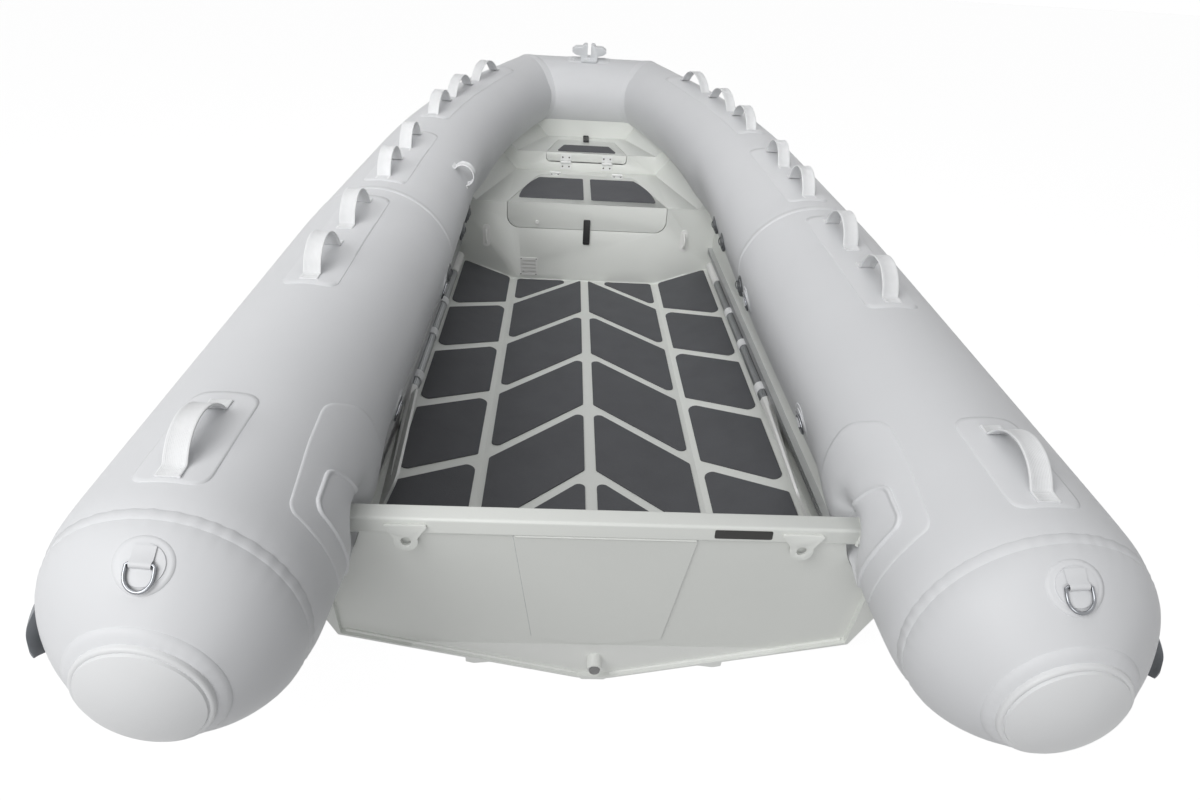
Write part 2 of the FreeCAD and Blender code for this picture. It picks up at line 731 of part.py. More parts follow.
def step_lid(grow=0.0):
    return lid_form(STEP_LID_AFT_X, STEP_LID_FORE_X, BULKHEAD_Y, STEP_HINGE_Y - HINGE_SETBACK + grow,
                    STEP_Z, STEP_Z - STEP_LID_LIP - grow, STEP_LID_CORNER_R, grow)


def bow_lid(grow=0.0):
    return lid_form(BOW_LID_AFT_X, BOW_LID_FORE_X, BOX_Y, BOW_LID_FORE_Y + grow,
                    BOX_Z, BOW_HINGE_Z + LID_GAP / 2 - grow, BOW_LID_CORNER_R, grow)


def vent_hole():
    half_x = VENT_HALF_X - VENT_FRAME
    half_z = VENT_HALF_Z - VENT_FRAME
    return Part.makeBox(2 * half_x, 4 * LOCKER_PLATE, 2 * half_z,
                        V(VENT_X - half_x, BULKHEAD_Y - LOCKER_PLATE, VENT_Z - half_z))


def step_locker(envelope):
    face = prism([(DECK_FOLD_X, DECK_Z), (WALL_X, deck_height(WALL_X)), (WALL_X, STEP_Z)],
                 BULKHEAD_Y, BULKHEAD_Y + LOCKER_PLATE)
    top = extrude(lid_plan(STEP_AFT_X, BOX_HALF, BULKHEAD_Y, BOX_Y + LOCKER_PLATE, STEP_Z - LOCKER_PLATE),
                  V(0, 0, LOCKER_PLATE))
    top = top.common(locker_void())
    locker = face.fuse(top).removeSplitter()
    return locker.cut(step_lid(LID_GAP)).cut(vent_hole()).cut(envelope)


def bow_locker(envelope):
    face = prism([(BOX_HALF, STEP_Z), (BOX_HALF, BOX_Z)], BOX_Y, BOX_Y + LOCKER_PLATE)
    top = extrude(lid_plan(BOX_HALF, BOW_EDGE_X, BOX_Y, BOW_EDGE_Y, BOX_Z - LOCKER_PLATE),
                  V(0, 0, LOCKER_PLATE))
    locker = face.fuse(top).common(locker_void()).removeSplitter()
    return locker.cut(bow_lid(LID_GAP)).cut(envelope)


def vent_grille():
    y = BULKHEAD_Y - VENT_PLATE
    plate = extrude_rounded([V(VENT_X - VENT_HALF_X, y, VENT_Z - VENT_HALF_Z),
                             V(VENT_X + VENT_HALF_X, y, VENT_Z - VENT_HALF_Z),
                             V(VENT_X + VENT_HALF_X, y, VENT_Z + VENT_HALF_Z),
                             V(VENT_X - VENT_HALF_X, y, VENT_Z + VENT_HALF_Z)], 6.0, V(0, VENT_PLATE, 0))
    pitch = 2 * (VENT_HALF_Z - VENT_FRAME) / VENT_SLATS
    half_x = VENT_HALF_X - VENT_FRAME
    for i in range(VENT_SLATS):
        low = VENT_Z - VENT_HALF_Z + VENT_FRAME + pitch * (i + 0.25)
        plate = plate.cut(Part.makeBox(2 * half_x, VENT_PLATE, pitch / 2, V(VENT_X - half_x, y, low)))
    return plate


def step_hinge(x):
    """Hinge on top of the step: its fixed part and its lid part."""
    third = HINGE_WIDTH / 3
    left = x - HINGE_WIDTH / 2
    axis_z = STEP_Z + KNUCKLE_R + LEAF * 0.6
    def barrel(start, length):
        return Part.makeCylinder(KNUCKLE_R, length, V(start, STEP_HINGE_Y, axis_z), STARBOARD)
    def foot(start, length, y0, y1):
        return Part.makeBox(length, y1 - y0, LEAF, V(start, y0, STEP_Z))
    fixed = foot(left, HINGE_WIDTH, STEP_HINGE_Y + KNUCKLE_R + 1, STEP_HINGE_Y + LEAF_LENGTH)
    lid = foot(left, HINGE_WIDTH, STEP_HINGE_Y - LEAF_LENGTH, STEP_HINGE_Y - KNUCKLE_R - 1)
    for start in (left, left + 2 * third + KNUCKLE_GAP):
        fixed = fixed.fuse(barrel(start, third - KNUCKLE_GAP))
        fixed = fixed.fuse(foot(start, third - KNUCKLE_GAP, STEP_HINGE_Y, STEP_HINGE_Y + KNUCKLE_R + 2))
    lid = lid.fuse(barrel(left + third, third))
    lid = lid.fuse(foot(left + third, third, STEP_HINGE_Y - KNUCKLE_R - 2, STEP_HINGE_Y))
    return fixed.removeSplitter(), lid.removeSplitter()


def bow_hinge(x):
    """Strap hinge on the face of the bow box: its fixed part and its lid part."""
    third = HINGE_WIDTH / 3
    left = x - HINGE_WIDTH / 2
    axis_y = bow_hinge_y()
    def barrel(start, length):
        return Part.makeCylinder(KNUCKLE_R, length, V(start, axis_y, BOW_HINGE_Z), STARBOARD)
    def strap(start, length, z0, z1):
        return Part.makeBox(length, LEAF, z1 - z0, V(start, BOX_Y - LEAF, z0))
    fixed = strap(left, HINGE_WIDTH, BOW_HINGE_Z - LEAF_LENGTH, BOW_HINGE_Z - KNUCKLE_R - 1)
    lid = strap(left, HINGE_WIDTH, BOW_HINGE_Z + KNUCKLE_R + 1, BOW_HINGE_Z + LEAF_LENGTH)
    for start in (left, left + 2 * third + KNUCKLE_GAP):
        fixed = fixed.fuse(barrel(start, third - KNUCKLE_GAP))
        fixed = fixed.fuse(strap(start, third - KNUCKLE_GAP, BOW_HINGE_Z - KNUCKLE_R - 2, BOW_HINGE_Z))
    lid = lid.fuse(barrel(left + third, third))
    lid = lid.fuse(strap(left + third, third, BOW_HINGE_Z, BOW_HINGE_Z + KNUCKLE_R + 2))
    return fixed.removeSplitter(), lid.removeSplitter()


def bow_hinge_y():
    return BOX_Y - KNUCKLE_R - LEAF * 0.6


def latch(frame):
    """Draw latch in a frame whose X runs from the lid to the keeper and Z off the plate."""
    half = LATCH_WIDTH / 2
    heel = extrude_rounded([V(0, -half, 0), V(LATCH_HEEL, -half, 0), V(LATCH_HEEL, half, 0), V(0, half, 0)],
                           4.0, V(0, 0, LATCH_STAND + LATCH_STRAP))
    strap = extrude_rounded([V(LATCH_HEEL / 2, -half, LATCH_STAND), V(LATCH_LENGTH, -half, LATCH_STAND),
                             V(LATCH_LENGTH, half, LATCH_STAND), V(LATCH_HEEL / 2, half, LATCH_STAND)],
                            [0.5, 6.0, 6.0, 0.5], V(0, 0, LATCH_STRAP))
    grip = Part.makeBox(10.0, LATCH_WIDTH - 4, LATCH_STRAP,
                        V(LATCH_LENGTH - 14, 2 - half, LATCH_STAND + LATCH_STRAP))
    body = heel.fuse([strap, grip]).removeSplitter()
    body.Placement = frame
    return body


def keeper(frame):
    half = LATCH_WIDTH / 2 - 3
    plate = extrude_rounded([V(LATCH_LENGTH - 30, -half, 0), V(LATCH_LENGTH - 2, -half, 0),
                             V(LATCH_LENGTH - 2, half, 0), V(LATCH_LENGTH - 30, half, 0)],
                            4.0, V(0, 0, KEEPER_THICK))
    plate.Placement = frame
    return plate


def step_latch_frame():
    """Heel on the lid's lip, strap hanging down over the bulkhead."""
    origin = V(0, BULKHEAD_Y, STEP_Z - STEP_LID_LIP + LATCH_HEEL + 6)
    return FreeCAD.Placement(origin, FreeCAD.Rotation(V(0, 0, -1), V(-1, 0, 0), V(0, -1, 0), "ZXY"))


def bow_latch_frame():
    """Heel on the lid's forward edge, strap reaching forward over the bow deck."""
    origin = V(0, BOW_LID_FORE_Y - LATCH_HEEL - 4, BOX_Z)
    return FreeCAD.Placement(origin, FreeCAD.Rotation(FORWARD, V(-1, 0, 0), UP, "ZXY"))


def lid_knob():
    z = STEP_Z - STEP_LID_LIP + KNOB_R + 14
    stem = Part.makeCylinder(KNOB_R * 0.6, KNOB_RISE, V(KNOB_X, BULKHEAD_Y, z), FORWARD * -1)
    head = Part.makeCylinder(KNOB_R, KNOB_RISE / 2, V(KNOB_X, BULKHEAD_Y - KNOB_RISE / 2, z), FORWARD * -1)
    rim = [e for e in head.Edges if abs(e.CenterOfMass.y - (BULKHEAD_Y - KNOB_RISE)) < 0.1]
    return stem.fuse(head.makeChamfer(2.0, rim)).removeSplitter()


def step_mats():
    aft = BULKHEAD_Y + STEP_MAT_INSET
    fore = STEP_HINGE_Y - LEAF_LENGTH - STEP_MAT_HINGE_GAP
    strip = STRIP / 2
    corner_a = V(strip, aft, STEP_Z)
    corner_b = V(STEP_MAT_AFT_X, aft, STEP_Z)
    corner_c = V(STEP_MAT_FORE_X, fore, STEP_Z)
    corner_d = V(strip, fore, STEP_Z)
    bulge = V((STEP_MAT_AFT_X * 0.42 + STEP_MAT_FORE_X * 0.58) + 18, aft + (fore - aft) * 0.58, STEP_Z)
    edges = [Part.makeLine(corner_a, corner_b), Part.Arc(corner_b, bulge, corner_c).toShape(),
             Part.makeLine(corner_c, corner_d), Part.makeLine(corner_d, corner_a)]
    mat = Part.Face(Part.Wire(edges)).extrude(V(0, 0, MAT))
    upright = [e for e in mat.Edges if abs(e.tangentAt(e.FirstParameter).z) > 0.99]
    return both_sides([mat.makeFillet(10.0, upright)])


def bow_mat():
    aft = BOX_Y + BOW_MAT_SPAN[0]
    fore = BOX_Y + BOW_MAT_SPAN[1]
    return extrude_rounded(lid_plan(BOW_MAT_AFT_X, BOW_MAT_FORE_X, aft, fore, BOX_Z), 10.0, V(0, 0, MAT))


def handle_strap(span, rise, foot):
    """Webbing arch in the XZ plane with a flat foot at each end, on the plane Z = 0."""
    half = span / 2
    outer = Part.Arc(V(-half, 0, WEB), V(0, 0, rise + WEB), V(half, 0, WEB)).toShape()
    end = half + foot
    bend = half - WEB * 1.4
    inner = Part.Arc(V(bend, 0, 0), V(0, 0, rise), V(-bend, 0, 0)).toShape()
    left = [V(-bend, 0, 0), V(-end, 0, 0), V(-end, 0, WEB), V(-half, 0, WEB)]
    right = [V(half, 0, WEB), V(end, 0, WEB), V(end, 0, 0), V(bend, 0, 0)]
    edges = [Part.makePolygon(left), outer, Part.makePolygon(right), inner]
    wire = Part.Wire([e for part in edges for e in part.Edges])
    strap = Part.Face(wire).extrude(V(0, WEB_WIDTH, 0))
    strap.translate(V(0, -WEB_WIDTH / 2, 0))
    return strap


def webbing_handles(tube):
    handles = []
    for aft_y, span in HANDLES:
        strap = handle_strap(span, HANDLE_RISE, WEB_FOOT)
        strap.Placement = frame_on_tube(aft_y + span / 2, math.pi / 2, -WEB / 2)
        handles.append(strap.cut(tube))
    return group(handles)


def loop_handle(tube):
    """Loop round part of the port tube's inner side, made on the starboard one and mirrored."""
    strap = handle_strap(LOOP_SPAN, LOOP_RISE, LOOP_FOOT)
    across = FreeCAD.Placement(V(0, 0, 0), FreeCAD.Rotation(UP, 90))
    strap.Placement = frame_on_tube(LOOP_Y, LOOP_ANGLE, -LOOP_SINK).multiply(across)
    return mirrored(strap.cut(tube))


def valve_set(grown_tube):
    valves = []
    for y, degrees in VALVES:
        rim = Part.makeCylinder(VALVE_R, VALVE_RISE + 4, V(0, 0, -4), UP)
        dish = Part.makeCone(VALVE_R * 0.5, VALVE_R * 0.72, VALVE_RISE * 0.6, V(0, 0, VALVE_RISE * 0.4), UP)
        boss = Part.makeCylinder(VALVE_R * 0.3, VALVE_RISE, V(0, 0, 0), UP)
        valve = rim.cut(dish).fuse(boss).removeSplitter()
        valve.Placement = frame_on_tube(y, math.radians(degrees))
        valves.append(valve.cut(grown_tube))
    return valves


def d_outline(half, back):
    """Outline of a D in the XY plane: straight across X = -back, half round towards +X."""
    bow = Part.Arc(V(0, -half, 0), V(half, 0, 0), V(0, half, 0)).toShape()
    straight = Part.makePolygon([V(0, half, 0), V(-back, half, 0), V(-back, -half, 0), V(0, -half, 0)])
    return Part.Wire([bow] + straight.Edges)


def d_ring(half, back, bar):
    """Ring of bar, bevelled all along so that the bar is eight-sided."""
    ring_shape = Part.Face(d_outline(half + bar / 2, back + bar / 2)).extrude(V(0, 0, bar))
    ring_shape = ring_shape.cut(Part.Face(d_outline(half - bar / 2, back - bar / 2)).extrude(V(0, 0, bar)))
    flat_edges = [e for e in ring_shape.Edges if e.BoundBox.ZLength < 0.01]
    ring_shape = ring_shape.makeChamfer(bar * 0.29, flat_edges)
    ring_shape.translate(V(0, 0, -bar / 2))
    return ring_shape


def ring_and_patch(frame, skin, grown):
    """D-ring held by a tab on a round patch that follows the skin."""
    disc = Part.makeCylinder(PATCH_R, 60.0, V(0, 0, -30), UP)
    disc.Placement = frame
    patch = disc.common(grown).cut(skin)
    half = RING_TAB / 2
    tab = extrude_rounded([V(-half * 1.7, -half, 0), V(RING_BAR, -half, 0), V(RING_BAR, half, 0),
                           V(-half * 1.7, half, 0)], 3.0, V(0, 0, PATCH + RING_BAR + 3))
    tab.Placement = frame
    patch = patch.fuse(tab.cut(skin)).removeSplitter()
    lift = PATCH + RING_BAR / 2 + 1.5
    loop = d_ring(RING_HALF, RING_BACK, RING_BAR)
    loop.translate(V(RING_BACK, 0, lift))
    loop.Placement = frame.multiply(loop.Placement)
    return loop, patch.cut(loop)


def tube_length(y, grow):
    """Short straight length of the starboard tube round one station, tapered as the tube is there."""
    reach = 2 * PATCH_R
    radius = tube_r(y) + grow
    taper = (tube_r(y - 1) - tube_r(y + 1)) / 2 * reach
    root = V(0, 0, -reach)
    if taper > 0:
        length = Part.makeCone(radius + taper, radius - taper, 2 * reach, root, UP)
    else:
        length = Part.makeCylinder(radius, 2 * reach, root, UP)
    length.Placement = placed(tube_point(y), tube_heading(y))
    return length


def rings_and_patches(tapered_end):
    about = FreeCAD.Placement(V(0, 0, 0), FreeCAD.Rotation(UP, 180))
    made = [ring_and_patch(frame_on_tube(y, math.radians(degrees)).multiply(about),
                           tube_length(y, SKIN_GAP), tube_length(y, PATCH)) for y, degrees in RING_PLACES]
    made.append(ring_and_patch(cone_ring_frame(), tapered_end, cone(PATCH)))
    return [loop for loop, _ in made], [patch for _, patch in made]


def cone_ring_frame():
    """Frame on top of the starboard tapered end, X running aft, Z out of the flank."""
    flank = cone_flank()
    parameter = flank.FirstParameter + (flank.LastParameter - flank.FirstParameter) * CONE_RING_SHARE
    at = flank.value(parameter)
    along = V(*flank.tangent(parameter)[0])
    if along.z < 0:
        along = along * -1
    out = V(along.z, 0, -along.x)
    local = FreeCAD.Placement(at, FreeCAD.Rotation(along, out.cross(along), out, "ZXY"))
    turned = FreeCAD.Placement(V(0, 0, 0), FreeCAD.Rotation(UP, CONE_RING_ANGLE - 180))
    return cone_frame().multiply(turned).multiply(local)


def fairlead_frame():
    out = V(0, -math.sin(FAIRLEAD_TILT), math.cos(FAIRLEAD_TILT))
    origin = V(0, BOW_Y, tube_z(BOW_Y)) + out * BOW_R
    return FreeCAD.Placement(origin, FreeCAD.Rotation(STARBOARD, out.cross(STARBOARD), out, "ZXY"))


def bow_fairlead(patch):
    """Cast mooring fairlead: a base, two posts with a rope slot between them, and a horn each side."""
    waist = FAIRLEAD_WAIST
    slot = FAIRLEAD_SLOT / 2
    horn = FAIRLEAD_HORN
    top = FAIRLEAD_TOP
    half = [V(slot, 0, top * 0.22), V(slot, 0, top), V(slot + 16, 0, top), V(slot + 24, 0, top * 0.84),
            V(horn * 0.72, 0, top * 0.84), V(horn, 0, top * 0.6), V(horn * 0.72, 0, top * 0.38),
            V(waist, 0, top * 0.3), V(waist, 0, -20)]
    outline = half + [V(-p.x, 0, p.z) for p in reversed(half)]
    radii = [6, 4, 4, 3, 16, 12, 14, 6, 0.5]
    body = extrude_rounded(outline, radii + radii[::-1], V(0, FAIRLEAD_WAIST * 0.85, 0))
    body.translate(V(0, -FAIRLEAD_WAIST * 0.425, 0))
    depth = FAIRLEAD_DEPTH / 2
    base = extrude_rounded([V(-waist, -depth, -20), V(waist, -depth, -20), V(waist, depth, -20),
                            V(-waist, depth, -20)], 8.0, V(0, 0, 20 + top * 0.16))
    casting = body.fuse(base).removeSplitter()
    casting.Placement = fairlead_frame()
    return casting.cut(patch)


def bow_patch(tube, solid):
    """Reinforcement that follows the bow tube under the fairlead."""
    frame = fairlead_frame()
    reach = BOW_R * math.sin(BOW_PATCH_ARC)
    block = extrude_rounded([V(-BOW_PATCH_HALF, -reach, -90), V(BOW_PATCH_HALF, -reach, -90),
                             V(BOW_PATCH_HALF, reach, -90), V(-BOW_PATCH_HALF, reach, -90)], 28.0, V(0, 0, 120))
    block.Placement = frame
    return solid.common(block).cut(tube)


def oar_shaft():
    return Part.makeCylinder(SHAFT_R, SHAFT_Y[1] - SHAFT_Y[0], V(OAR_X, SHAFT_Y[0], OAR_Z), FORWARD)


def oar_grip():
    grip = Part.makeCylinder(GRIP_R, GRIP_Y[1] - GRIP_Y[0], V(OAR_X, GRIP_Y[0], OAR_Z), FORWARD)
    end = [e for e in grip.Edges if e.BoundBox.YMin > GRIP_Y[1] - 1]
    return grip.makeChamfer(GRIP_R / 3, end)


def spine_run(r0, y0, r1, y1):
    def section(radius, y):
        turns = [math.pi / 8 + math.pi / 4 * i for i in range(8)]
        return polygon_wire([V(radius * math.cos(a), y, radius * math.sin(a)) for a in turns])
    return Part.makeLoft([section(r0, y0), section(r1, y1)], True, True)


def oar_blade():
    """Blade on edge along the tube, with a tapering eight-sided spine that takes the shaft."""
    aft, fore = BLADE_Y
    spine = spine_run(SHAFT_R + 1.5, SHAFT_Y[0], SPINE_R, fore)
    tail = spine_run(SPINE_R, fore, SPINE_TIP_R, aft + (fore - aft) * 0.2)
    half = [(SPINE_R * 0.4, fore + 30), (BLADE_HALF, fore - 60), (BLADE_HALF, aft)]
    outline = [V(x, y, -BLADE_THICK / 2) for x, y in half]
    outline += [V(-x, y, -BLADE_THICK / 2) for x, y in reversed(half)]
    plate = extrude_rounded(outline, [0.5, 30.0, 26.0, 26.0, 30.0, 0.5], V(0, 0, BLADE_THICK))
    blade = spine.fuse([tail, plate]).removeSplitter()
    blade.rotate(V(0, 0, 0), FORWARD, 90 - math.degrees(BLADE_LEAN))
    drop = math.atan2(BLADE_Z - OAR_Z, SHAFT_Y[0] - (aft + fore) / 2)
    swing = math.atan2(OAR_X - BLADE_X, SHAFT_Y[0] - (aft + fore) / 2)
    root = V(0, SHAFT_Y[0], 0)
    blade.rotate(root, STARBOARD, -math.degrees(drop))
    blade.rotate(root, UP, -math.degrees(swing))
    blade.translate(V(OAR_X, 0, OAR_Z))
    return blade.cut(oar_shaft())


def oar_strap(y):
    """Webbing band round the shaft, its tail on the side of the hull."""
    outer = Part.makeCylinder(SHAFT_R + STRAP, STRAP_WIDTH, V(OAR_X, y - STRAP_WIDTH / 2, OAR_Z), FORWARD)
    tail = Part.makeBox(WALL_X - OAR_X, STRAP_WIDTH, STRAP, V(OAR_X, y - STRAP_WIDTH / 2, OAR_Z + SHAFT_R))
    hole = Part.makeCylinder(SHAFT_R + SEAT_GAP, STRAP_WIDTH, V(OAR_X, y - STRAP_WIDTH / 2, OAR_Z), FORWARD)
    keep = Part.makeBox(WALL_X, STRAP_WIDTH, FAR, V(0, y - STRAP_WIDTH / 2, -FAR / 2))
    return outer.fuse(tail).cut(hole).common(keep).removeSplitter()


def side_rail():
    """Grooved extrusion along the side that the oar straps are fixed under."""
    x0 = WALL_X - TRACK_WIDTH
    step = TRACK_HEIGHT / 5
    outline = [V(WALL_X, 0, TRACK_Z), V(WALL_X, 0, TRACK_Z + TRACK_HEIGHT), V(x0, 0, TRACK_Z + TRACK_HEIGHT)]
    for i in (4, 2):
        outline += [V(x0, 0, TRACK_Z + step * i), V(x0 + TRACK_GROOVE, 0, TRACK_Z + step * i),
                    V(x0 + TRACK_GROOVE, 0, TRACK_Z + step * (i - 1)), V(x0, 0, TRACK_Z + step * (i - 1))]
    outline.append(V(x0, 0, TRACK_Z))
    rail = extrude(outline, V(0, BULKHEAD_Y - TRACK_AFT_Y, 0))
    rail.translate(V(0, TRACK_AFT_Y, 0))
    return rail


def bulkhead_eye(x, z):
    """Oval pad eye on the bulkhead, long axis upright."""
    y = BULKHEAD_Y - 3.0
    half = 46.0
    base = extrude_rounded([V(x - 15, y, z - half), V(x + 15, y, z - half), V(x + 15, y, z + half),
                            V(x - 15, y, z + half)], 14.0, V(0, 3.0, 0))
    turns = [math.pi / 8 + math.pi / 4 * i for i in range(8)]
    bar = polygon_wire([V(x + PAD_EYE_BAR * math.cos(a), y + 2, z + PAD_EYE_R + PAD_EYE_BAR * math.sin(a))
                        for a in turns])
    loop = Part.Face(bar).revolve(V(x, y + 2, z), STARBOARD, 180)
    return base.fuse(loop).removeSplitter()


def main():
    os.makedirs("parts", exist_ok=True)
    tube = side_tube()
    bow = bow_tube()
    grown = side_tube(SEAT_GAP)
    envelope = grown.multiFuse([mirrored(grown), bow_tube(SEAT_GAP)])
    outer = outer_hull()

    save_pair("tube", tube.cut(beam(BEAM_RELIEF)))
    save_pair("cone", cone())
    save_pair("rub_strake", rub_strake(tube))
    save_pair("grab_handles", webbing_handles(tube))
    save("tube_bow", bow)
    save("rub_strake_bow", bow_strake(bow))
    save("end_caps", both_sides([end_cap()]))
    save("loop_handle", loop_handle(tube))
    save("valves", both_sides(valve_set(grown)))
    loops, patches = rings_and_patches(cone())
    save("d_rings", both_sides(loops))
    save("ring_patches", both_sides(patches))
    patch = bow_patch(bow, bow_tube(PATCH))
    save("bow_patch", patch)
    save("bow_fairlead", bow_fairlead(bow_tube(PATCH)))

    save("hull_shell", hull_shell(outer, envelope))
    save("transom_plate", transom_plate(envelope))
    save("transom_beam", beam())
    save("motor_plate", motor_plate())
    save("tow_eyes", both_sides([tow_eye()]))
    save("drain_pipe", drain_pipe())
    save("spray_rails", both_sides([spray_rail(outer)]))
    save("keel_guard", keel_guard(outer))
    save("deck_plate", deck_plate())
    half = STRIP / 2
    columns = (("inner", half, DECK_FOLD_X - half), ("outer", DECK_FOLD_X + half, MAT_EDGE_X))
    for column, inner, edge in columns:
        save_pair("deck_mats_" + column, deck_mats(inner, edge))
    save("side_rails", both_sides([side_rail()]))
    save("step_locker", step_locker(envelope))
    save("bow_locker", bow_locker(envelope))
    save("vent_grille", vent_grille())
    save("bulkhead_eyes", group(bulkhead_eye(x, z) for x, z in PAD_EYES))

    step_parts = [step_hinge(x) for x in (-STEP_HINGE_X, STEP_HINGE_X)]
    bow_parts = [bow_hinge(x) for x in (-BOW_HINGE_X, BOW_HINGE_X)]
    save("step_hinge_leaves", group(part[0] for part in step_parts))
    save("bow_hinge_leaves", group(part[0] for part in bow_parts))
    save("latch_keepers", group([keeper(step_latch_frame()), keeper(bow_latch_frame())]))
    save("step_lid", step_lid())
    save("step_lid_hinges", group(part[1] for part in step_parts))
    save("step_lid_mats", step_mats())
    save("step_latch", latch(step_latch_frame()))
    save("step_lid_knob", lid_knob())
    save("bow_lid", bow_lid())
    save("bow_lid_hinges", group(part[1] for part in bow_parts))
    save("bow_lid_mat", bow_mat())
    save("bow_latch", latch(bow_latch_frame()))

    save("oar_shafts", both_sides([oar_shaft()]))
    save("oar_grips", both_sides([oar_grip()]))
    save("oar_blades", both_sides([oar_blade()]))
    save("oar_straps", both_sides([oar_strap(y) for y in STRAP_PLACES]))


main()
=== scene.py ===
import bmesh
import bpy
from math import asin, atan2, cos, exp, hypot, log, pi, radians, sin, sqrt, tan
from mathutils import Matrix, Vector, noise


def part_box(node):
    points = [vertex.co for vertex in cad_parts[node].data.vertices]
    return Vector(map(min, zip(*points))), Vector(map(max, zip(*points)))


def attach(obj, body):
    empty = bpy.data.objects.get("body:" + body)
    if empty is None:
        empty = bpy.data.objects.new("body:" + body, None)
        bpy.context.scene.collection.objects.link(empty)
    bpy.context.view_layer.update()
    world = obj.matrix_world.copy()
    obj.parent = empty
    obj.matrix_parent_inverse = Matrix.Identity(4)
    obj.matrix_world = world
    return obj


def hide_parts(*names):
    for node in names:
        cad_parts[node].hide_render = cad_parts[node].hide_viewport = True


# Looks of a rigid inflatable boat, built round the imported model. Metres. X is starboard, Y forward,
# Z up, and the origin lies on the waterline under the transom beam.

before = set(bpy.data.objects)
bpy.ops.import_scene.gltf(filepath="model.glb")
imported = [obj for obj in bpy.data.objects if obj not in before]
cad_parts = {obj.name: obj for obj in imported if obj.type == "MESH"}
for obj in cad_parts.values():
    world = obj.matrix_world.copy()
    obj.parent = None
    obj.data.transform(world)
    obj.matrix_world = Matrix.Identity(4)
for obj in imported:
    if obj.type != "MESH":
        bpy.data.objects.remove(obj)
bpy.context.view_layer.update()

UP = Vector((0, 0, 1))
STARBOARD = Vector((1, 0, 0))
FORWARD = Vector((0, 1, 0))
SIDES = ((1, "starboard"), (-1, "port"))

# Air tubes, as in the part's source, and their tapered ends with the caps
TUBE_R = 0.212
BOW_R = 0.157
TUBE_X = 0.659
TUBE_Z = 0.393
SPLAY = 0.0395
SHEER = 0.0751
TAPER_Y = 1.0
TAPER_END_Y = 3.0
BEND_Y = 1.735
BOW_Y = 3.2
MITRE_Y = BOW_Y + 0.001
MITRE_X = 0.28
MITRE_TURN = radians(23.0)
SEAM_Y = -0.245
CONE_LENGTH = 0.148
CONE_END_R = 0.094
CONE_BULGE = 0.012
CONE_TOE = 0.117
CONE_LIFT = 0.023
CAP_R = 0.099
CAP_RISE = 0.024
CAP_RIM = 0.007

# How softly the skin turns at the aft seam, is pressed in by the transom beam, and lies back beside
# the oars
SEAM_SOFT = 0.016
DENT_DEPTH = 0.034
DENT_REACH = 0.036
HOLLOW_DEPTH = 0.022
HOLLOW_ANGLE = radians(204)
HOLLOW_REACH = radians(46)
HOLLOW_RUN = (0.12, 0.35, 1.90, 2.15)

# Slow waves of the fabric, the puckers gathered at the aft seam, and the tapes, whose edges are
# tucked into the skin. ROUND and CONE_ROUND are points round a tube and round a tapered end.
WAVE_DEPTH = 0.0009
PUCKERS = 44
PUCKER_DEPTH = 0.0009
PUCKER_RUN = 0.022
CONE_WAVE_DEPTH = 0.0011
CONE_PUCKER_DEPTH = 0.0011
TUCK = 0.0006
MITRE_TAPE_HALF = 0.020
MITRE_TAPE_LIFT = 0.0014
ROUND = 112
CONE_ROUND = 176

# Tapes right round: points, (share, lift) pairs on the tapered end, and (station, lift) on the tube
SEAM_TAPE = (264, ((0.050, -TUCK), (0.043, 0.0007), (0.0, 0.0008)),
             ((SEAM_Y + 0.009, 0.0007), (SEAM_Y + 0.0102, -TUCK)))
CAP_TAPE = (CONE_ROUND, ((0.985, -TUCK), (0.97, 0.0016), (0.90, 0.0016), (0.86, 0.0014), (0.85, -TUCK)), ())
RING_TAPE = (ROUND, (), ((1.0875, -TUCK), (1.089, 0.0008), (1.10, 0.0008), (1.111, 0.0008),
                         (1.1125, -TUCK)))

# Rub strake
STRAKE_HALF = 0.044
STRAKE_RISE = 0.017
STRAKE_ANGLE = radians(-5.0)
STRAKE_TAIL = 0.074
STRAKE_TIP = 0.0018
STRAKE_SINK = 0.008

# Hull and lockers
DECK_Z = 0.015
DECK_FOLD_X = 0.300
DECK_SLOPE = 0.365
TRANSOM_RAKE = radians(13.0)
BEAM_TOP_Z = 0.384
BEAM_FOOT_Z = BEAM_TOP_Z - 0.035
BEAM_DEPTH = 0.046
KEEL_HALF = 0.035
KEEL_Z = -0.110
CHINE_X = 0.530
CHINE_Z = 0.037
BULKHEAD_Y = 2.196
STEP_Z = 0.348
STEP_AFT_X = 0.458
BOX_Y = 2.745
BOX_HALF = 0.322
BOX_Z = 0.432
BOW_EDGE_Y = 3.098
BOW_EDGE_X = 0.190
LID_LIP = 0.003
FLARE_RUN = 0.075
FLARE_RISE = 0.085
VENT_AT = (-0.2385, 0.0735)
VENT_PANEL_HALF = 0.031
VENT_SCREWS = (0.0318, 0.0338)
PLATE_AT = (0.2535, 0.3675)
PLATE_HALF = (0.054, 0.0095)

# Hinge leaves: their lines, their middles to each side, and their bolts
STEP_HINGE_Y = 2.680
STEP_LEAF_X = 0.143
BOW_HINGE_Z = 0.390
BOW_LEAF_X = 0.095
LEAF_THICK = 0.0025
BOLT_APART = 0.015
BOLT_REACH = 0.021

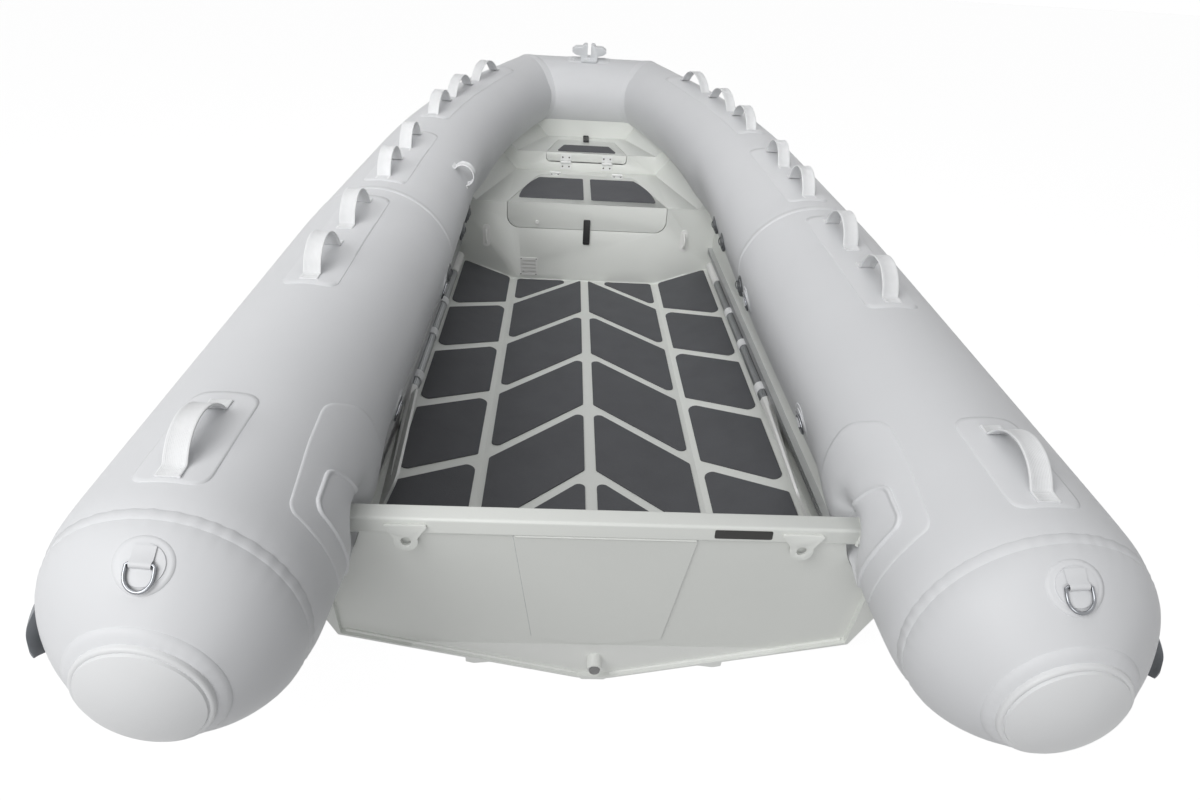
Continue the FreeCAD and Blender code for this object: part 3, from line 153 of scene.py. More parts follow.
# Webbing: the aft foot of each handle and its span, and the small loop on the port tube
WEB_WIDTH = 0.039
WEB_FOOT = 0.024
WEB_LIFT = 0.0017
HANDLE_RISE = 0.060
AFT_HANDLE_RISE = 0.045
HANDLES = ((-0.151, 0.158), (0.531, 0.162), (0.818, 0.158), (1.207, 0.158), (1.497, 0.160),
           (1.957, 0.205), (2.238, 0.230), (2.560, 0.240))
HANDLE_FEET = ((WEB_FOOT, WEB_LIFT), (WEB_FOOT * 0.5, WEB_LIFT), (0.002, WEB_LIFT))
STITCH_HALF = 0.0012
STITCH_PITCH = 0.0036
LOOP_Y = 1.545
LOOP_ANGLE = radians(147.5)
LOOP_SPAN = 0.062
LOOP_RISE = 0.042
LOOP_FEET = ((0.012, 0.0018), (0.006, 0.0018), (0.001, 0.0020))

# Valves and D-rings: station and degrees round the tube
VALVES = ((1.060, 185.0), (1.397, 187.0), (1.566, 190.0))
VALVE_R = 0.031
RING_PLACES = ((0.400, 190.0), (0.985, 188.0))
RING_BAR = 0.0052
RING_HALF = 0.020
RING_BACK = 0.017
RING_LIFT = 0.0070
RING_CORNER = 0.004
TAB_HALF = 0.0145
PATCH_R = 0.042
CONE_RING_SHARE = 0.42
CONE_RING_ANGLE = radians(94.0)

# Oars
SHAFT_R = 0.016
SHAFT_Y = (0.930, 1.880)
FLUTES = 15
FLUTE_DEPTH = 0.0009
OAR_X = 0.515
OAR_Z = 0.146

# Camera, solved from the photograph's 1200 x 800 frame
SENSOR = 36.0
FOCAL_PX = 850.0
FRAME_PX = 1200.0
CAMERA_AT = Vector((-0.09975, -1.24642, 1.32421))
CAMERA_PITCH = 0.50073
CAMERA_HEADING = 0.05792
CAMERA_ROLL = 0.06193

# Soft boxes: name, place, target, width, depth, watts and spread in degrees
LAMPS = (
    ("key", (-2.7, -2.4, 3.6), (0, 0.7, 0.3), 3.0, 3.0, 138.0, 180.0),
    ("top", (-0.3, 1.4, 4.2), (0, 1.8, 0.3), 3.0, 3.0, 40.0, 180.0),
    ("fill", (-0.8, -7.0, 2.3), (0, 1.2, 0.2), 4.0, 3.0, 145.0, 180.0),
    ("bow_fill", (-0.3, -0.5, 2.4), (0, 2.7, 0.2), 0.8, 0.8, 1.8, 50.0),
)
SKY_TINT = (0.985, 0.99, 1.0, 1)
SKY_STRENGTH = 0.23

# Floor: how much of it is matt rather than clear, and the strength that makes the matt part white
FLOOR_HALF = 30.0
FLOOR_MATT = 0.10
FLOOR_LIFT = 0.62


# Geometry of the tubes

def tube_x(y):
    if y <= BEND_Y:
        return TUBE_X - SPLAY * y
    start = TUBE_X - SPLAY * BEND_Y
    reach = BOW_Y - BEND_Y
    t = min((y - BEND_Y) / reach, 1.0)
    bend = ((2 * t**3 - 3 * t**2 + 1) * start
            + (t**3 - 2 * t**2 + t) * reach * -SPLAY
            + (3 * t**2 - 2 * t**3) * MITRE_X
            + (t**3 - t**2) * reach * -tan(MITRE_TURN))
    return bend - max(y - BOW_Y, 0.0) * tan(MITRE_TURN)


def tube_z(y):
    return TUBE_Z + SHEER * y


def tube_r(y):
    share = min(max((y - TAPER_Y) / (TAPER_END_Y - TAPER_Y), 0.0), 1.0)
    return TUBE_R + (BOW_R - TUBE_R) * share


def mirrored(point, side):
    """The point on that side; side is 1 for starboard and -1 for port."""
    return Vector((point.x * side, point.y, point.z))


def axis_point(y):
    return Vector((tube_x(y), y, tube_z(y)))


def heading(y):
    step = 0.0005
    return (axis_point(y + step) - axis_point(y - step)).normalized()


def radial(y, angle):
    """Unit vector out of the starboard tube: 0 outboard, 90 degrees up, 180 inboard."""
    outboard = heading(y).cross(UP).normalized()
    return outboard * cos(angle) + outboard.cross(heading(y)) * sin(angle)


def skin(side, y, angle, lift=0.0):
    return mirrored(axis_point(y) + radial(y, angle) * (tube_r(y) + lift), side)


def skin_frame(side, y, angle, lift=0.0):
    """Origin, forward, across and outward directions at a place on the tube's skin."""
    out = mirrored(radial(y, angle), side)
    ahead = mirrored(heading(y), side)
    return skin(side, y, angle, lift), ahead, out.cross(ahead), out


def bow_point(x, angle, radius):
    """Place round the bow tube: 0 forward, 90 degrees up."""
    return Vector((x, BOW_Y + cos(angle) * radius, tube_z(BOW_Y) + sin(angle) * radius))


def mitre_normal(side):
    return mirrored((heading(MITRE_Y) - STARBOARD).normalized(), side)


def turns(count):
    """Angles of that many points evenly round a circle."""
    return [2 * pi * i / count for i in range(count)]


def eased(value, low, high):
    t = min(max((value - low) / (high - low), 0.0), 1.0)
    return t * t * (3 - 2 * t)


# Mesh building

def add_object(name, data):
    made = bpy.data.objects.new(name, data)
    bpy.context.scene.collection.objects.link(made)
    return made


def shade_smooth(mesh, sharp=None):
    """Smooth shading, broken at edges sharper than that many degrees."""
    mesh.polygons.foreach_set("use_smooth", [True] * len(mesh.polygons))
    if sharp:
        mesh.set_sharp_from_angle(angle=radians(sharp))


def piece(name, points, faces, look, body="boat", uvs=None, sharp=40.0):
    mesh = bpy.data.meshes.new(name)
    mesh.from_pydata([tuple(p) for p in points], [], faces)
    mesh.validate()
    shade_smooth(mesh, sharp)
    if uvs:
        layer = mesh.uv_layers.new(name="length_and_width")
        for loop in mesh.loops:
            layer.data[loop.index].uv = uvs[loop.vertex_index]
    made = add_object(name, mesh)
    mesh.materials.append(look.material)
    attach(made, body)
    return made


def grid(rows, around=False, closed=False, capped=False):
    """Points, quads and lengths of a surface given as rows of points.

    around joins the last column to the first, closed the last row to the first, capped fills both ends.
    """
    width = len(rows[0])
    points = [p for row in rows for p in row]
    faces = []
    for i in range(len(rows) if closed else len(rows) - 1):
        a = i * width
        b = (i + 1) % len(rows) * width
        for j in range(width if around else width - 1):
            k = (j + 1) % width
            faces.append((a + j, a + k, b + k, b + j))
    if capped:
        faces.append(tuple(reversed(range(width))))
        faces.append(tuple(range((len(rows) - 1) * width, len(rows) * width)))
    along = [0.0]
    for before, after in zip(rows, rows[1:]):
        along.append(along[-1] + (after[0] - before[0]).length)
    across = [0.0]
    for before, after in zip(rows[0], rows[0][1:]):
        across.append(across[-1] + (after - before).length)
    uvs = [(u, v) for u in along for v in across]
    return points, faces, uvs


def join(parts):
    """Several (points, faces, uvs) as one."""
    points, faces, uvs = [], [], []
    for more_points, more_faces, more_uvs in parts:
        base = len(points)
        points += more_points
        faces += [tuple(base + i for i in face) for face in more_faces]
        uvs += more_uvs
    return points, faces, uvs


def grid_piece(name, parts, look, body="boat", sharp=40.0, node=None):
    """Piece joined from several grids; node is the CAD node that it stands in for."""
    points, faces, uvs = join(parts)
    made = piece(name, points, faces, look, body, uvs, sharp)
    if node:
        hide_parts(node)


def fabric_piece(name, parts, node=None):
    """Glued fabric: its edges are soft, so that only sharp folds stay sharp."""
    grid_piece(name, parts, PATCH, sharp=70, node=node)


def sweep(path, across, section, closed=False):
    """Rows of a section carried along a path; across is the section's first direction."""
    rows = []
    count = len(path)
    for i, at in enumerate(path):
        before = path[i - 1] if i or closed else at
        after = path[(i + 1) % count] if i < count - 1 or closed else at
        tangent = (after - before).normalized()
        side = (across - tangent * across.dot(tangent)).normalized()
        normal = side.cross(tangent)
        rows.append([at + side * a + normal * b for a, b in section])
    return rows


def round_section(radius, count):
    return [(radius * cos(a), radius * sin(a)) for a in turns(count)]


def bar(path, radius, side, closed=False, count=8):
    rows = sweep(path, side, round_section(radius, count), closed)
    return grid(rows, around=True, closed=closed, capped=not closed)


def lathe(profile, at, axis, count, wave=None):
    """Revolved profile of (radius, height) pairs about an axis; wave(height, turn) scales the radius."""
    first = axis.orthogonal().normalized()
    second = axis.cross(first)
    rows = []
    for radius, height in profile:
        row = []
        for turn in turns(count):
            r = radius * (wave(height, turn) if wave else 1.0)
            row.append(at + axis * height + (first * cos(turn) + second * sin(turn)) * r)
        rows.append(row)
    return grid(rows, around=True, capped=True)


def smooth_path(points, steps):
    """Catmull-Rom curve through the points."""
    path = []
    for i in range(len(points) - 1):
        a = points[max(i - 1, 0)]
        b = points[i]
        c = points[i + 1]
        d = points[min(i + 2, len(points) - 1)]
        for k in range(steps):
            t = k / steps
            path.append((b * 2 + (c - a) * t + (a * 2 - b * 5 + c * 4 - d) * t * t
                         + (b * 3 - a - c * 3 + d) * t**3) * 0.5)
    path.append(points[-1])
    return path


def lipped(build, foot, fore):
    """Widens a lid by its rubber lip: at both sides, and at its foot or its forward edge."""
    lowest = min(v.co.z for v in build.verts)
    build.normal_update()
    moves = []
    for vert in build.verts:
        push = Vector((0, 0, 0))
        for face in vert.link_faces:
            n = face.normal
            side_edge = abs(n.x) > 0.3 and abs(n.z) < 0.98
            foot_edge = foot and n.z < -0.3 and face.calc_center_median().z < lowest + 0.03
            fore_edge = fore and n.y > 0.5
            if side_edge or foot_edge or fore_edge:
                push += n
        if push.length > 0.1:
            moves.append((vert, push.normalized() * LID_LIP))
    for vert, move in moves:
        vert.co += move


def softened(node, look, slot, body, width, lip):
    """Stand-in for a CAD node with its edges rounded as folded, cast or moulded edges are."""
    build = bmesh.new()
    build.from_mesh(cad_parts[node].data)
    bmesh.ops.remove_doubles(build, verts=build.verts, dist=0.00002)
    bmesh.ops.dissolve_limit(build, angle_limit=radians(1.0), verts=build.verts, edges=build.edges)
    if lip:
        lipped(build, *lip)
    mesh = bpy.data.meshes.new(node + "_finished")
    build.to_mesh(mesh)
    build.free()
    made = add_object(node + "_finished", mesh)
    mesh.materials.clear()
    mesh.materials.append(look.material)
    shade_smooth(mesh)
    bevel = made.modifiers.new("rounded", "BEVEL")
    bevel.width = width
    bevel.segments = 2
    bevel.limit_method = "ANGLE"
    bevel.angle_limit = radians(38)
    bevel.harden_normals = True
    bpy.context.view_layer.objects.active = made
    bpy.ops.object.modifier_apply(modifier=bevel.name)
    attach(made, body)
    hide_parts(node)


# Materials

def linear(shade):
    return [c / 255 / 12.92 if c / 255 <= 0.04045 else ((c / 255 + 0.055) / 1.055)**2.4 for c in shade]


def add_node(tree, kind, **values):
    """New shader node; values are for its sockets, whose names have a space for each underscore."""
    node = tree.nodes.new("ShaderNode" + kind)
    for socket, value in values.items():
        node.inputs[socket.replace("_", " ")].default_value = value
    return node


def link(tree, *pairs):
    for start, end in pairs:
        tree.links.new(start, end)


def combined(tree, operation, first, second):
    """Output of a Math node on two outputs."""
    node = add_node(tree, "Math")
    node.operation = operation
    link(tree, (first, node.inputs[0]), (second, node.inputs[1]))
    return node.outputs[0]


class Look:
    """A procedural material: a shader, a soft drift of its colour and roughness, and stacked bumps."""

    def __init__(self, name, shade, roughness, drift, drift_scale, metallic=0.0, rough_drift=0.06):
        self.material = bpy.data.materials.new(name)
        self.material.use_nodes = True
        self.tree = self.material.node_tree
        self.shader = self.tree.nodes["Principled BSDF"]
        self.places = add_node(self.tree, "TexCoord")
        self.normal = None
        ramp = add_node(self.tree, "ValToRGB")
        for stop, position, share in zip(ramp.color_ramp.elements, (0.3, 0.7), (1 - drift, 1 + drift)):
            stop.position = position
            stop.color = (*[min(c * share, 1.0) for c in linear(shade)], 1)
        spread = add_node(self.tree, "MapRange", To_Min=max(roughness - rough_drift, 0.02),
                          To_Max=min(roughness + rough_drift, 1.0))
        link(self.tree, (self.noise(drift_scale, 5.0, 0.55), ramp.inputs["Fac"]),
             (ramp.outputs["Color"], self.shader.inputs["Base Color"]),
             (self.noise(drift_scale * 9, 4.0, 0.6), spread.inputs["Value"]),
             (spread.outputs["Result"], self.shader.inputs["Roughness"]))
        self.tuned(Metallic=metallic)

    def tuned(self, **values):
        for socket, value in values.items():
            self.shader.inputs[socket.replace("_", " ")].default_value = value

    def texture(self, kind, space="Object", **values):
        node = add_node(self.tree, kind, **values)
        link(self.tree, (self.places.outputs[space], node.inputs["Vector"]))
        return node

    def noise(self, scale, detail, roughness, distortion=0.0):
        node = self.texture("TexNoise", Scale=scale, Detail=detail, Roughness=roughness,
                            Distortion=distortion)
        return node.outputs["Fac"]

    def bands(self, scale, direction, space="Object"):
        node = self.texture("TexWave", space, Scale=scale)
        node.bands_direction = direction
        return node.outputs["Fac"]

    def bump(self, height, depth, strength):
        """Adds relief: height is a node's output, depth how deep it reaches, in metres."""
        node = add_node(self.tree, "Bump", Distance=depth, Strength=strength)
        if self.normal is not None:
            link(self.tree, (self.normal, node.inputs["Normal"]))
        self.normal = node.outputs["Normal"]
        link(self.tree, (height, node.inputs["Height"]), (self.normal, self.shader.inputs["Normal"]))
        return self

    def grain(self, scale, depth, strength, roughness=0.6, detail=2.0, distortion=0.0):
        return self.bump(self.noise(scale, detail, roughness, distortion), depth, strength)


FABRIC = Look("coated_tube_fabric", (214, 215, 217), 0.44, 0.018, 2.2)
FABRIC.grain(5.0, 0.004, 0.35, 0.4).grain(1400.0, 0.00025, 0.5).tuned(Specular_IOR_Level=0.2)
PATCH = Look("glued_patch_fabric", (217, 218, 220), 0.42, 0.015, 6.0)
PATCH.grain(1400.0, 0.00025, 0.5).tuned(Specular_IOR_Level=0.2)
CAP = Look("moulded_end_cap", (222, 223, 224), 0.36, 0.012, 5.0)
CAP.grain(24.0, 0.0012, 0.4, 0.5, 3.0).tuned(Specular_IOR_Level=0.25)
PAINT = Look("off_white_powder_coat", (222, 224, 220), 0.33, 0.012, 4.0, rough_drift=0.05)
PAINT.grain(620.0, 0.00030, 0.5, 0.5).grain(7.0, 0.0022, 0.18, 0.4)
PAINT.tuned(Specular_IOR_Level=0.3, Coat_Weight=0.08, Coat_Roughness=0.2)
MAT = Look("charcoal_anti_slip_foam", (90, 91, 94), 0.82, 0.06, 9.0, rough_drift=0.04)
MAT.bump(MAT.texture("TexVoronoi", Scale=420.0).outputs["Distance"], 0.0006, 0.7)
MAT.grain(1500.0, 0.0003, 0.6, 0.7).tuned(Specular_IOR_Level=0.25)
WEBBING = Look("white_webbing", (231, 232, 233), 0.62, 0.03, 30.0)
WEAVE = combined(WEBBING.tree, "MULTIPLY", WEBBING.bands(170.0, "X", "UV"), WEBBING.bands(120.0, "Y", "UV"))
WEBBING.bump(WEAVE, 0.0006, 0.8).tuned(Sheen_Weight=0.15)
STRAKE = Look("grey_strake_rubber", (138, 141, 145), 0.58, 0.04, 5.0).grain(900.0, 0.0003, 0.6)
STEEL = Look("polished_stainless", (140, 142, 146), 0.16, 0.03, 20.0, 1.0)
STEEL.grain(300.0, 0.00015, 0.3, 0.5, distortion=0.4)
HINGE = Look("bead_blasted_hinge", (228, 229, 228), 0.45, 0.03, 30.0, 0.05).grain(1200.0, 0.0002, 0.6)
SHAFT = Look("anodised_oar_shaft", (150, 152, 154), 0.32, 0.04, 14.0, 1.0).grain(500.0, 0.0001, 0.4, 0.5)
RAIL = Look("anodised_rail", (205, 206, 207), 0.38, 0.03, 10.0, 0.75)
RAIL.bump(RAIL.bands(260.0, "Z"), 0.0002, 0.4)
# Black rubber of the latches, also the dark disc of painted shade in the drain's mouth
BLACK = Look("black_latch_rubber_and_drain_shade", (24, 24, 25), 0.46, 0.12, 26.0).grain(700.0, 0.0003, 0.6)
VALVE = Look("dark_valve_plastic", (88, 90, 93), 0.44, 0.06, 40.0).grain(800.0, 0.0002, 0.6)
GREY_PLASTIC = Look("pale_moulded_plastic", (218, 220, 222), 0.40, 0.02, 16.0).grain(500.0, 0.0002, 0.5)
WHITE_PLASTIC = Look("white_moulded_plastic", (228, 228, 226), 0.34, 0.015, 12.0)
WHITE_PLASTIC.grain(120.0, 0.0004, 0.3, 0.5)
BOLT = Look("dark_bolt_steel", (92, 90, 88), 0.36, 0.1, 60.0, 0.9).grain(900.0, 0.0001, 0.6)
PLATE = Look("bare_black_plate", (34, 33, 32), 0.42, 0.08, 40.0).grain(600.0, 0.0001, 0.6)


# Air tubes

def beam_dent(point):
    """How far the tube's skin is pressed in round the end of the transom beam."""
    if abs(point.x) > TUBE_X:
        return 0.0
    off_y = max(-point.y, point.y - BEAM_DEPTH, 0.0)
    off_z = max(BEAM_FOOT_Z - point.z, point.z - BEAM_TOP_Z, 0.0)
    away = hypot(off_y, off_z) / DENT_REACH
    return DENT_DEPTH * exp(-away * away)


def seam_drop(aft):
    """How far the skin falls short of the tube's full radius just forward of the aft seam."""
    slope = (TUBE_R - CONE_END_R) / CONE_LENGTH
    return SEAM_SOFT * log(1 + exp(slope * aft / SEAM_SOFT))


def hollow(y, angle):
    """How far the tube's inner side lies back along the cockpit."""
    off = abs(angle % (2 * pi) - HOLLOW_ANGLE) / HOLLOW_REACH
    across = cos(off * pi / 2)**2 if off < 1 else 0.0
    start, full, last, end = HOLLOW_RUN
    return HOLLOW_DEPTH * across * eased(y, start, full) * (1 - eased(y, last, end))


def pucker_phase(side, angle):
    return noise.noise(Vector((angle * 3, side * 5, 0))) * 3


def relief(side, y, angle):
    """Unevenness of the inflated fabric: slow waves, and puckers gathered at the aft seam."""
    spot = Vector((cos(angle) * 1.6 + side * 7, y * 2.6, sin(angle) * 1.6))
    waves = noise.noise(spot) * WAVE_DEPTH
    from_seam = max(y - SEAM_Y, 0.0)
    ripple = sin(angle * PUCKERS + pucker_phase(side, angle)) * PUCKER_DEPTH
    return waves + ripple * exp(-from_seam / PUCKER_RUN) - seam_drop(SEAM_Y - y) - hollow(y, angle)


def waved(side, y, angle, lift=0.0):
    return skin(side, y, angle, lift + relief(side, y, angle))


def fabric(side, y, angle, lift=0.0):
    """Place on the inflated skin as it really lies, waves and dents included."""
    plain = waved(side, y, angle, lift)
    return plain - mirrored(radial(y, angle), side) * beam_dent(plain)


def trimmed(made, planes):
    """Cuts a piece back behind each (point, normal) plane and closes the cut."""
    build = bmesh.new()
    build.from_mesh(made.data)
    for at, normal in planes:
        geometry = build.verts[:] + build.edges[:] + build.faces[:]
        cut = bmesh.ops.bisect_plane(build, geom=geometry, plane_co=at, plane_no=normal, clear_outer=True)
        rim = [e for e in cut["geom_cut"] if isinstance(e, bmesh.types.BMEdge)]
        bmesh.ops.edgenet_fill(build, edges=rim)
    bmesh.ops.recalc_face_normals(build, faces=build.faces)
    build.to_mesh(made.data)
    build.free()
    shade_smooth(made.data, 40)


def mitred(name, rows, look, sides, facing, node):
    """Skin of a tube or strake, cut back at the mitres on those sides, in place of a CAD node."""
    points, faces, _ = grid(rows, around=True, capped=True)
    made = piece(name, points, faces, look)
    trimmed(made, [(mirrored(axis_point(BOW_Y), side), mitre_normal(side) * facing) for side in sides])
    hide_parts(node)


def side_tube(side, word):
    fine_end = SEAM_Y + 0.06
    last = BOW_Y + 0.17
    steps = 170
    stations = [SEAM_Y + 0.004 * i for i in range(15)]
    stations += [fine_end + (last - fine_end) * i / steps for i in range(steps + 1)]
    rows = [[fabric(side, y, angle) for angle in turns(ROUND)] for y in stations]
    mitred("tube_%s_skin" % word, rows, FABRIC, (side,), 1, "tube_" + word)


def bow_tube():
    half = MITRE_X + BOW_R
    rows = []
    for i in range(61):
        x = -half + 2 * half * i / 60
        waves = [(angle, noise.noise(Vector((x * 3, cos(angle) * 1.4, sin(angle) * 1.4 + 9))))
                 for angle in turns(ROUND)]
        rows.append([bow_point(x, angle, BOW_R + wave * WAVE_DEPTH) for angle, wave in waves])
    mitred("tube_bow_skin", rows, FABRIC, (1, -1), -1, "tube_bow")


def mitre_tape(side):
    """Glued tape over the mitre between a side tube and the bow tube."""
    lift = MITRE_TAPE_LIFT
    ahead = heading(MITRE_Y)
    normal = mitre_normal(1)
    rows = []
    for angle in turns(96):
        out_side = radial(MITRE_Y, angle)
        start = axis_point(BOW_Y) + out_side * BOW_R
        at = start - ahead * (start - axis_point(BOW_Y)).dot(normal) / ahead.dot(normal)
        out_bow = Vector((0, at.y - BOW_Y, at.z - tube_z(BOW_Y))).normalized()
        both = (out_side + out_bow).normalized()
        aft = at - ahead * MITRE_TAPE_HALF
        fore = at - STARBOARD * MITRE_TAPE_HALF
        row = [aft - ahead * 0.002 - out_side * TUCK, aft + out_side * lift, at + both * lift * 1.3,
               fore + out_bow * lift, fore - STARBOARD * 0.002 - out_bow * TUCK]
        rows.append([mirrored(p, side) for p in row])
    return grid(rows, closed=True)


# Tapered ends and caps

def cone_profile(share):
    """(radius, distance aft of the seam) on the rounded flank, share running from 0 to 1."""
    first = Vector((TUBE_R, 0.0))
    middle = Vector(((TUBE_R + CONE_END_R) / 2 + CONE_BULGE, CONE_LENGTH / 2 + CONE_BULGE * 0.7))
    last = Vector((CONE_END_R, CONE_LENGTH))
    d = 2 * (first.x * (middle.y - last.y) + middle.x * (last.y - first.y)
             + last.x * (first.y - middle.y))
    a, b, c = first.length_squared, middle.length_squared, last.length_squared
    centre = Vector(((a * (middle.y - last.y) + b * (last.y - first.y) + c * (first.y - middle.y)) / d,
                     (a * (last.x - middle.x) + b * (first.x - last.x) + c * (middle.x - first.x)) / d))
    start = atan2(first.y - centre.y, first.x - centre.x)
    end = atan2(last.y - centre.y, last.x - centre.x)
    turn = start + (end - start) * share
    out = Vector((cos(turn), sin(turn)))
    at = centre + out * (first - centre).length
    at.x -= seam_drop(-at.y)
    return at, out


def cone_drift(aft):
    """Offset of the tapered end's centre, which leans inboard and up as it runs aft."""
    return radial(SEAM_Y, pi) * CONE_TOE * aft + radial(SEAM_Y, pi / 2) * CONE_LIFT * aft


def cone_point(side, share, angle, lift=0.0):
    at, out = cone_profile(share)
    axis = axis_point(SEAM_Y) + cone_drift(at.y)
    spot = axis + radial(SEAM_Y, angle) * (at.x + out.x * lift) - heading(SEAM_Y) * (at.y + out.y * lift)
    return mirrored(spot, side)


def cone_relief(side, share, angle):
    phase = pucker_phase(side, angle)
    uneven = 0.6 + 0.8 * abs(noise.noise(Vector((angle * 1.7, side * 3, 4))))
    pucker = sin(angle * PUCKERS + phase) * CONE_PUCKER_DEPTH * uneven * exp(-share / 0.10)
    near_cap = sin(angle * 36 + phase) * 0.00025 * exp(-(1 - share) / 0.07)
    spot = Vector((cos(angle) * 2, share * 2 + side, sin(angle) * 2))
    slow = noise.noise(spot) * CONE_WAVE_DEPTH
    return (pucker + near_cap + slow) * min(share / 0.02 + 0.3, 1.0)


def cone_skin(side, share, angle, lift=0.0):
    return cone_point(side, share, angle, cone_relief(side, share, angle) + lift)


def tapered_end(side):
    shares = [(i / 56)**1.2 for i in range(57)]
    rows = [[cone_skin(side, share, angle) for angle in turns(CONE_ROUND)] for share in shares]
    return grid(rows, around=True, capped=True)


def band(side, count, cone, tube):
    """Tape right round a tapered end, a tube or the seam between them, pulled into the same puckers."""
    rows = []
    for angle in turns(count):
        rows.append([cone_skin(side, share, angle, lift) for share, lift in cone]
                    + [waved(side, y, angle, lift) for y, lift in tube])
    return grid(rows, closed=True)


def cap_parts(side):
    """Moulded cap: a soft rim, a shallow groove and a dome."""
    sphere = (CAP_R**2 + CAP_RISE**2) / (2 * CAP_RISE)
    profile = [(CAP_R + 0.0005, -0.004), (CAP_R + 0.0005, CAP_RIM - 0.004),
               (CAP_R - 0.0005, CAP_RIM - 0.0015), (CAP_R - 0.003, CAP_RIM),
               (CAP_R - 0.0055, CAP_RIM + 0.0004), (CAP_R - 0.007, CAP_RIM - 0.0002)]
    steps = 22
    for i in range(steps):
        radius = (CAP_R - 0.0085) * (1 - i / steps)
        profile.append((radius, CAP_RIM + CAP_RISE - sphere + sqrt(sphere**2 - radius**2)))
    seat = axis_point(SEAM_Y) + cone_drift(CONE_LENGTH) - heading(SEAM_Y) * CONE_LENGTH
    return lathe(profile, mirrored(seat, side), mirrored(-heading(SEAM_Y), side), 128)


# Rub strake

def strake_rows(frames):
    """Rounded section, foot sunk in the skin, at each (origin, across, out, half, rise, foot)."""
    rows = []
    for origin, across, out, half, rise, foot in frames:
        row = []
        for i in range(17):
            share = -1 + i / 8
            crown = (1 - abs(share)**2.6)**0.75
            row.append(origin + across * half * share + out * (foot + (rise - foot) * crown))
        for i in range(15):
            share = 1 - (i + 1) / 8
            row.append(origin + across * half * share + out * (foot - 0.0004))
        rows.append(row)
    return rows


def side_strake(side, word):
    """Strake along a side tube; its aft end runs on past the seam as a free, hooked lip."""
    frames = []
    origin, ahead, across, out = skin_frame(side, SEAM_Y, STRAKE_ANGLE, -seam_drop(0.0))
    for i in range(18, 0, -1):
        share = i / 18
        aft = STRAKE_TAIL * share
        rise = STRAKE_RISE - 0.15 * aft - 3.5 * aft**2
        flank = cone_profile(aft / CONE_LENGTH)[0].x - (TUBE_R - seam_drop(0.0))
        freed = eased(share, 0.15, 0.85)
        foot = (flank - STRAKE_SINK * 0.6) * (1 - freed) + (rise - STRAKE_TIP) * freed
        half = STRAKE_HALF * (1 - 0.80 * share**2)
        frames.append((origin - ahead * aft, across, out, half, rise, foot))
    stations = [SEAM_Y + 0.012 * i for i in range(8)]
    start = stations[-1]
    stations += [start + (BOW_Y + 0.16 - start) * (i + 1) / 90 for i in range(90)]
    for y in stations:
        origin, ahead, across, out = skin_frame(side, y, STRAKE_ANGLE, -seam_drop(SEAM_Y - y))
        frames.append((origin, across, out, STRAKE_HALF, STRAKE_RISE, -STRAKE_SINK))
    mitred("rub_strake_%s_moulded" % word, strake_rows(frames), STRAKE, (side,), 1,
           "rub_strake_" + word)


def bow_strake():
    half = MITRE_X + BOW_R + STRAKE_RISE
    out = Vector((0, cos(STRAKE_ANGLE), sin(STRAKE_ANGLE)))
    across = out.cross(STARBOARD)
    frames = []
    for i in range(41):
        origin = Vector((-half + 2 * half * i / 40, BOW_Y, tube_z(BOW_Y))) + out * BOW_R
        frames.append((origin, across, out, STRAKE_HALF, STRAKE_RISE, -STRAKE_SINK))
    mitred("rub_strake_bow_moulded", strake_rows(frames), STRAKE, (1, -1), -1,
           "rub_strake_bow")


# Patches glued on the skin: corners are (station, degrees), edges (inset, lift) pairs out to the rim

PATCH_EDGE = ((0.0012, 0.0011), (0.0, -TUCK))
FLANGE_EDGE = ((0.0105, 0.0026), (0.0085, 0.0045), (0.0060, 0.0056), (0.0035, 0.0052), (0.0012, 0.0034),
               (0.0, -0.0008))
TRANSOM_PATCH = ((-0.152, 140.5), (-0.140, 137.6), (0.007, 132.5), (0.120, 131.0), (0.190, 150.0),
                 (0.190, 196.0), (-0.112, 204.0), (-0.136, 185.0), (-0.149, 168.7), (-0.154, 153.0))
TRANSOM_FLANGE = ((-0.110, 151.5), (-0.096, 147.6), (-0.016, 145.7), (0.012, 157.0), (0.030, 168.0),
                  (0.070, 184.0), (0.070, 206.0), (-0.062, 206.0), (-0.081, 190.5), (-0.101, 174.1),
                  (-0.108, 162.0))
HANDLE_PATCHES = (
    ((-0.185, 74.0), (-0.185, 106.0), (0.060, 106.0), (0.060, 74.0)),
    ((0.485, 74.5), (0.485, 107.0), (1.035, 107.0), (1.035, 74.5)),
    ((1.165, 75.5), (1.165, 108.5), (1.715, 110.5), (1.715, 75.5)),
    ((1.915, 75.0), (1.915, 108.5), (2.540, 113.0), (2.900, 112.0), (2.900, 74.0)),
)


def rounded_outline(corners, radius, steps=7):
    """Corner points of a flat outline with each corner turned into an arc."""
    outline = []
    count = len(corners)
    for i, corner in enumerate(corners):
        back = corners[i - 1] - corner
        ahead = corners[(i + 1) % count] - corner
        reach = min(radius, back.length * 0.45, ahead.length * 0.45)
        start = corner + back.normalized() * reach
        end = corner + ahead.normalized() * reach
        for k in range(steps + 1):
            t = k / steps
            outline.append(start * (1 - t)**2 + corner * 2 * t * (1 - t) + end * t * t)
    return outline


def box_corners(half_x, half_y):
    return [Vector((half_x * x, half_y * y)) for x, y in ((-1, -1), (1, -1), (1, 1), (-1, 1))]


def spread_outline(outline, step):
    """The same outline with points no further apart than step."""
    points = []
    for i, point in enumerate(outline):
        after = outline[(i + 1) % len(outline)]
        parts = max(int((after - point).length / step), 1)
        points += [point + (after - point) * k / parts for k in range(parts)]
    return points


